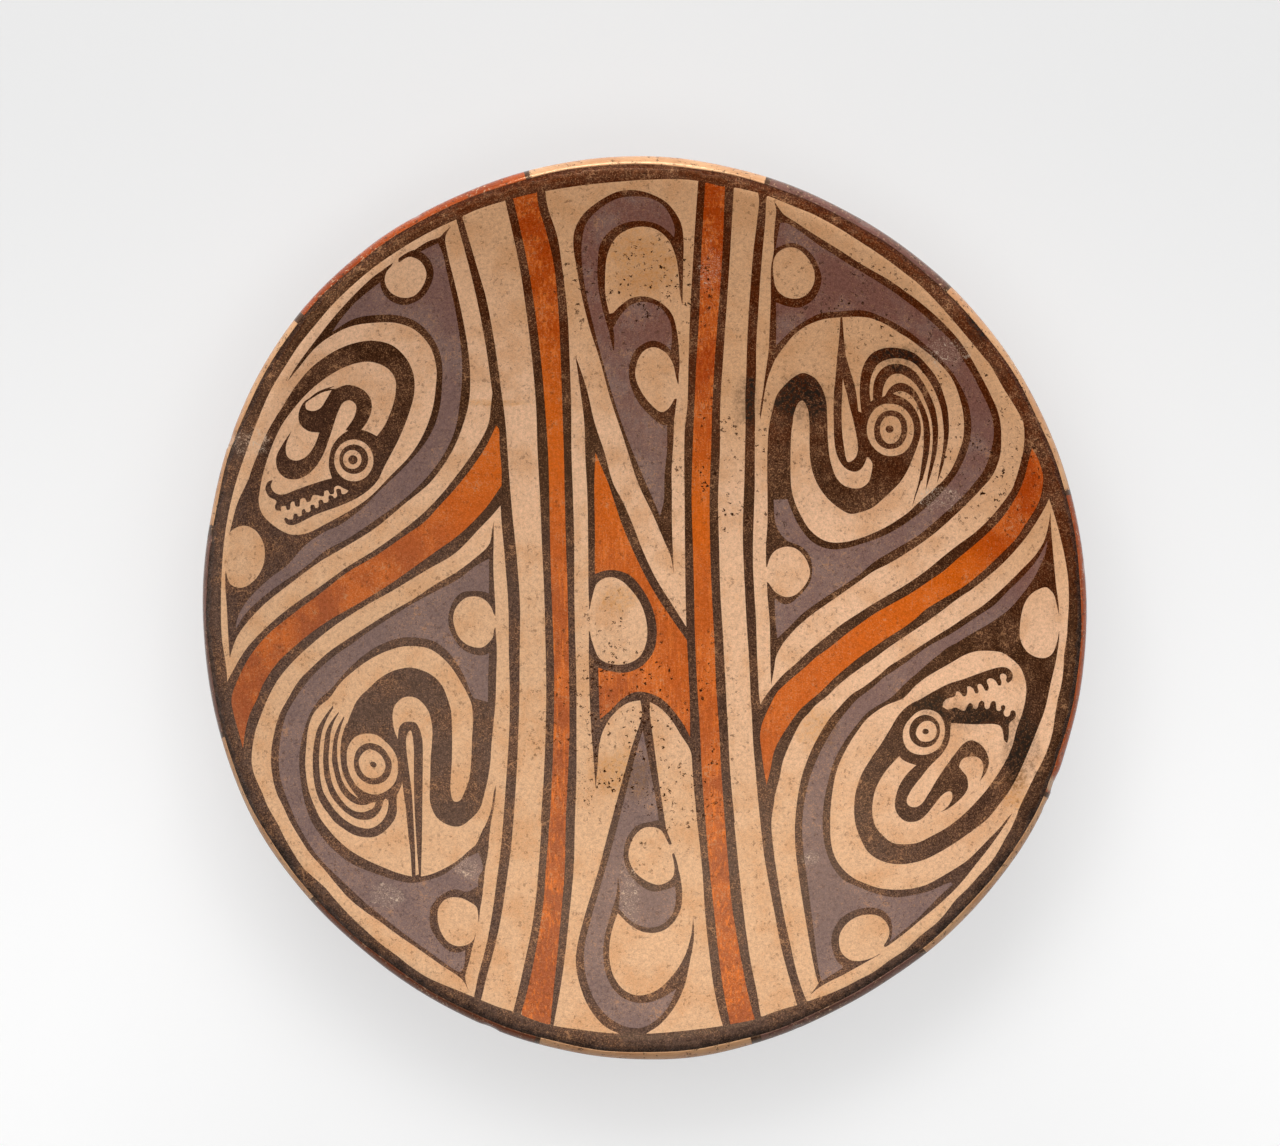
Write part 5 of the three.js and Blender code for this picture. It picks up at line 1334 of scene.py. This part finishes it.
# Rolled lip in twelve painted lengths with a short dark bar between each two. A length is the compass
# angle where it begins, going clockwise, and the number of its paint. A bar reaches BAR_REACH mm each way
LIP_LENGTHS = (
    (105.2, 0), (73.6, 1), (46.2, 0), (14.9, 2), (-25.1, 0), (-50.8, 1), (-75.4, 0), (-103.7, 3),
    (-138.3, 0), (-163.1, 1), (-189.9, 0), (-219.9, 2))
BAR_REACH, BAR_PAINT = 1.1, 4
lip_points = np.vstack([lip_outer.reshape(-1, 3), lip_inner[1:-1].reshape(-1, 3)])
outer_faces, inner_faces = grid_faces(LIP_ROWS, ROUND), grid_faces(LIP_BACK_ROWS, ROUND)
row, column = inner_faces // ROUND, inner_faces % ROUND
row = np.select([row == 0, row == LIP_BACK_ROWS - 1], [0, LIP_ROWS - 1], LIP_ROWS + row - 1)
inner_faces, inner_uv = flipped(row * ROUND + column, strip_uv(LIP_BACK_ROWS, *HIDDEN_STRIP))
towards = (outer_faces[:, 0] % ROUND + 0.5) / ROUND * 360
lip_colour = np.zeros(len(outer_faces), int)
for (begins, paint), (ends, _) in zip(LIP_LENGTHS, LIP_LENGTHS[1:] + LIP_LENGTHS[:1]):
    lip_colour[(begins - towards) % 360 <= (begins - ends) % 360] = paint
for begins, _ in LIP_LENGTHS:
    off_bar = np.abs((towards - begins + 180) % 360 - 180) * math.pi / 180 * RIM_RADIUS
    lip_colour[off_bar < BAR_REACH] = BAR_PAINT
painted_lip = mesh_object(
    "painted_lip", lip_points, np.vstack([outer_faces, inner_faces]),
    np.vstack([strip_uv(LIP_ROWS, *SHOWN_STRIP), inner_uv]), lip_paints,
    np.r_[lip_colour, np.zeros(len(inner_faces), int)])

# Clay body: the underside that shows, wiped in rings, and a hidden top under the painted coats. Rows
# of points run in to a small ring that a fan of triangles closes
CREASE_POINTS, WALL_ROWS, FLOOR_ROWS, TOP_ROLL_ROWS, TOP_ROWS = 12, 92, 7, 12, 16
FLOOR_FROM, FAN_RADIUS = 12, 0.8
WIPE_FADE, WIPE_RINGS = 10, ((0.10, 1.31, 0), (0.06, 2.7, 1))
COAT_GAP, TOP_SINKS = 0.12, 6
crease_end = FACE_RADIUS - LIP_COIL_RUN + LUTE_BEVEL
wall_end, roll_end = under(np.array(crease_end)), np.array(on_roll(LIP_RADIUS, ROLL_END))
wall_way = wall_end - under(np.array(crease_end - CREASE_CHORD))
wall_way /= np.linalg.norm(wall_way)
roll_way = np.array([math.sin(ROLL_END), -math.cos(ROLL_END)])
crease = bezier([roll_end, roll_end + roll_way * LIP_CREASE / 3,
                 wall_end + wall_way * LIP_CREASE / 3, wall_end], np.linspace(0, 1, CREASE_POINTS))
wall = under(np.concatenate([np.linspace(crease_end, FLOOR_FROM, WALL_ROWS)[1:],
                             np.linspace(FLOOR_FROM, FAN_RADIUS, FLOOR_ROWS)[1:]]))
wiped = np.clip((crease_end - wall[:, 0]) / WIPE_FADE, 0, 1) * np.clip(wall[:, 0] / WIPE_FADE, 0, 1)
wall[:, 1] += wiped * sum(high * np.sin(wall[:, 0] * pitch + shift) for high, pitch, shift in WIPE_RINGS)
shown = np.vstack([crease, wall])
body_low = turned(shown)
body_low[:ROUND] = lip_outer[-1]

under_coat = COAT + COAT_GAP
along = np.linspace(0, 1, TOP_ROLL_ROWS)[1:]
deep = under_coat * np.minimum(1, TOP_SINKS * along)
arc = np.linspace(ROLL_END, ROLL_START, TOP_ROLL_ROWS)[1:]
r_in = np.linspace(FACE_RADIUS, FAN_RADIUS, TOP_ROWS)[1:]
slope = dish_slope(r_in)
sunk = under_coat / np.hypot(1, slope)
hidden = np.vstack([np.stack(on_roll(LIP_RADIUS - deep, arc), 1),
                    np.stack([r_in + sunk * slope, dish_height(r_in) - sunk], 1)])
body_top = turned(hidden, -1.0)


def fan(ring_start, middle_point, clockwise):
    """Triangles that close a ring of points with one point in its middle."""
    j = np.arange(ROUND)
    here, beside, hub = ring_start + j, ring_start + (j + 1) % ROUND, np.full(ROUND, middle_point)
    return np.stack([here, hub, beside] if clockwise else [here, beside, hub], 1)


middles = [[0, 0, rows[-ROUND:, 2].mean()] for rows in (body_low, body_top)]
body_points = np.vstack([body_low, body_top, middles])
top_faces = grid_faces(len(hidden) + 1, ROUND)
# The first row of the top is the first row of the underside, where both end on the roll
top_faces = np.where(top_faces < ROUND, top_faces, top_faces - ROUND + len(body_low))[:, ::-1]
last_low, last_top = len(body_low) - ROUND, len(body_low) + len(body_top) - ROUND
shown_faces = np.vstack([grid_faces(len(shown), ROUND), fan(last_low, len(body_points) - 2, True)])
hidden_faces = np.vstack([top_faces, fan(last_top, len(body_points) - 1, False)])
body_uv = [shown_uv(body_points[shown_faces.ravel(), :2]), hidden_uv(body_points[hidden_faces.ravel(), :2])]
clay_body = mesh_object(
    "clay_body", body_points, np.vstack([shown_faces, hidden_faces]), np.vstack(body_uv), [clay],
    np.zeros(len(shown_faces) + len(hidden_faces), int))

# Foot ring: flat tread with worn edges, drawn in at the waist and smeared on to the slab, into which its
# seat reaches by a little
SEAT_POINTS, EDGE_POINTS, SIDE_POINTS, TREAD_POINTS, SEAT_LAP = 9, 7, 13, 6, 0.12
weld_inner, weld_outer = FOOT_WAIST - FOOT_WAIST_WALL - FOOT_WELD, FOOT_WAIST + FOOT_WELD
seat = under(np.linspace(weld_outer, weld_inner, SEAT_POINTS)) + [0, SEAT_LAP]
waist_height = under(np.array(FOOT_WAIST))[1] / 2
quarter = np.linspace(-math.pi / 2, 0, EDGE_POINTS)
edge_x, edge_z = FOOT_ROUND * np.cos(quarter), FOOT_ROUND + FOOT_ROUND * np.sin(quarter)
outer_edge = np.stack([FOOT_RADIUS - FOOT_ROUND + edge_x, edge_z], 1)
inner_edge = np.stack([FOOT_RADIUS - FOOT_TREAD + FOOT_ROUND - edge_x, edge_z], 1)[::-1]
u = np.linspace(0, 1, SIDE_POINTS)
outer_side = bezier([outer_edge[-1], (FOOT_WAIST, waist_height), seat[0]], u)
inner_side = bezier([seat[-1], (FOOT_WAIST - FOOT_WAIST_WALL, waist_height), inner_edge[0]], u)
tread = np.linspace(inner_edge[-1], outer_edge[0], TREAD_POINTS)[1:-1]
foot_section = np.vstack([outer_edge, outer_side[1:], seat[1:-1], inner_side, inner_edge[1:], tread])
foot_points = turned(foot_section, -1.0)
# The tread stays flat on the table
foot_points[:, 2] = np.maximum(foot_points[:, 2], 0)
foot_rows = len(foot_section) + 1
foot_faces = grid_faces(foot_rows, ROUND) % len(foot_points)
foot_faces, foot_uv = flipped(foot_faces, strip_uv(foot_rows, *FOOT_STRIP))
clay_foot = mesh_object("clay_foot", foot_points, foot_faces, foot_uv, [worn_clay],
                        np.zeros(len(foot_faces), int))

for piece, cad_nodes, slot in (
        (painted_face, ("base_slab", "wall_coil_lower"), "painted_slip"),
        (painted_lip, ("lip_coil",), "painted_lip"),
        (clay_body, ("wall_coil_middle", "wall_coil_upper"), "plain_slip"),
        (clay_foot, ("foot_ring",), "plain_slip")):
    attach(piece, "root")
    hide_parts(*cad_nodes)

# Floor. The camera sees it glow a little, darker towards the top, so that the shadow stays pale. Heights
# on the floor are in metres, and the glow is what the seen white has over the floor's own share
FLOOR_WHITE, FLOOR_SHARE, FLOOR_ROUGHNESS = 0.8, 0.42, 0.9
GLOW_PLACES, SEEN_AT_TOP, SEEN_AT_BOTTOM = (0.24, -0.16), 0.735, 0.975
FLOOR_GAP, FLOOR_REACH, FLOOR_OPENING, FLOOR_SIDES = 0.2, 5000.0, FOOT_RADIUS - 4, 360
WHITE = (1, 1, 1, 1)
material = bpy.data.materials.new("Pale floor")
material.use_nodes = True
t = Tree(material.node_tree)
shader = material.node_tree.nodes["Principled BSDF"]
y = t.add("ShaderNodeSeparateXYZ", None, _0=t.add("ShaderNodeTexCoord").outputs["Object"]).outputs[1]
seen = t.add("ShaderNodeLightPath").outputs["Is Camera Ray"]
t.put(shader, "Base Color", t.grey(t.times_plus(seen, FLOOR_SHARE - FLOOR_WHITE, FLOOR_WHITE)))
glow = t.ramp(y, *GLOW_PLACES, SEEN_AT_TOP - FLOOR_SHARE, SEEN_AT_BOTTOM - FLOOR_SHARE)
t.put(shader, "Emission Color", WHITE)
t.put(shader, "Emission Strength", t.times(seen, glow))
t.put(shader, "Roughness", FLOOR_ROUGHNESS)
t.put(shader, "Specular IOR Level", 0.0)
# Seen from below the floor is clear, so that the underside can be looked at
from_below = t.add("ShaderNodeNewGeometry").outputs["Backfacing"]
clear = t.add("ShaderNodeBsdfTransparent").outputs[0]
one_sided = t.add("ShaderNodeMixShader", None, _0=from_below, _1=shader.outputs[0], _2=clear)
t.put(material.node_tree.nodes["Material Output"], "Surface", one_sided.outputs[0])
# The hidden opening under the foot lets a little light reach the underside
around = np.radians(np.arange(FLOOR_SIDES))
rings = [np.stack([r * np.cos(around), r * np.sin(around), np.full(FLOOR_SIDES, -FLOOR_GAP)], 1)
         for r in (FLOOR_OPENING, FLOOR_REACH)]
floor_faces = grid_faces(2, FLOOR_SIDES)
floor = mesh_object("floor", np.vstack(rings), floor_faces, np.zeros((floor_faces.size, 2)), [material],
                    np.zeros(len(floor_faces), int))

WORLD_LIGHT = 0.2
world = bpy.data.worlds.new("Studio")
bpy.context.scene.world = world
world.use_nodes = True
background = world.node_tree.nodes["Background"]
background.inputs["Color"].default_value = WHITE
background.inputs["Strength"].default_value = WORLD_LIGHT

# Lights: place, what they aim at, size in metres and power in watts
MIDDLE, TOP_OF_LIP = (0, 0, 0.03), (-0.01, 0.14, 0.05)
LIGHTS = {
    "Key": ((-0.1, 0.9, 1.4), MIDDLE, (1.2, 0.7), 13.0),
    "Left": ((-0.9, 0.45, 1.7), MIDDLE, (1.0, 1.0), 6.5),
    "Right": ((0.9, 0.45, 1.7), MIDDLE, (1.0, 1.0), 6.5),
    "Front": ((0.1, -0.55, 2.1), MIDDLE, (1.4, 0.7), 6.0),
    "Edge": ((-0.05, 1.6, 0.5), TOP_OF_LIP, (0.8, 0.11), 15.0),
}
for name, (place, aim, size, power) in LIGHTS.items():
    light = bpy.data.lights.new(name, "AREA")
    light.shape, light.energy = "RECTANGLE", power
    light.size, light.size_y = size
    holder = bpy.data.objects.new(name, light)
    bpy.context.scene.collection.objects.link(holder)
    holder.location = place
    holder.visible_camera = False
    holder.rotation_mode = "QUATERNION"
    holder.rotation_quaternion = (Vector(aim) - Vector(place)).to_track_quat("-Z", "Y")

SENSOR = 36
NEAREST, FURTHEST = 0.1, 20
lens = bpy.data.cameras.new("Photo")
lens.sensor_width = SENSOR
lens.lens = SENSOR * CAMERA_OFF / PHOTO_WIDTH
lens.clip_start, lens.clip_end = NEAREST, FURTHEST
camera = bpy.data.objects.new("Photo", lens)
bpy.context.scene.collection.objects.link(camera)
camera.location = (CAMERA_X * MM, CAMERA_Y * MM, CAMERA_Z * MM)
camera.rotation_euler = (0, 0, 0)
bpy.context.scene.camera = camera
bpy.context.scene.view_settings.view_transform = "Standard"
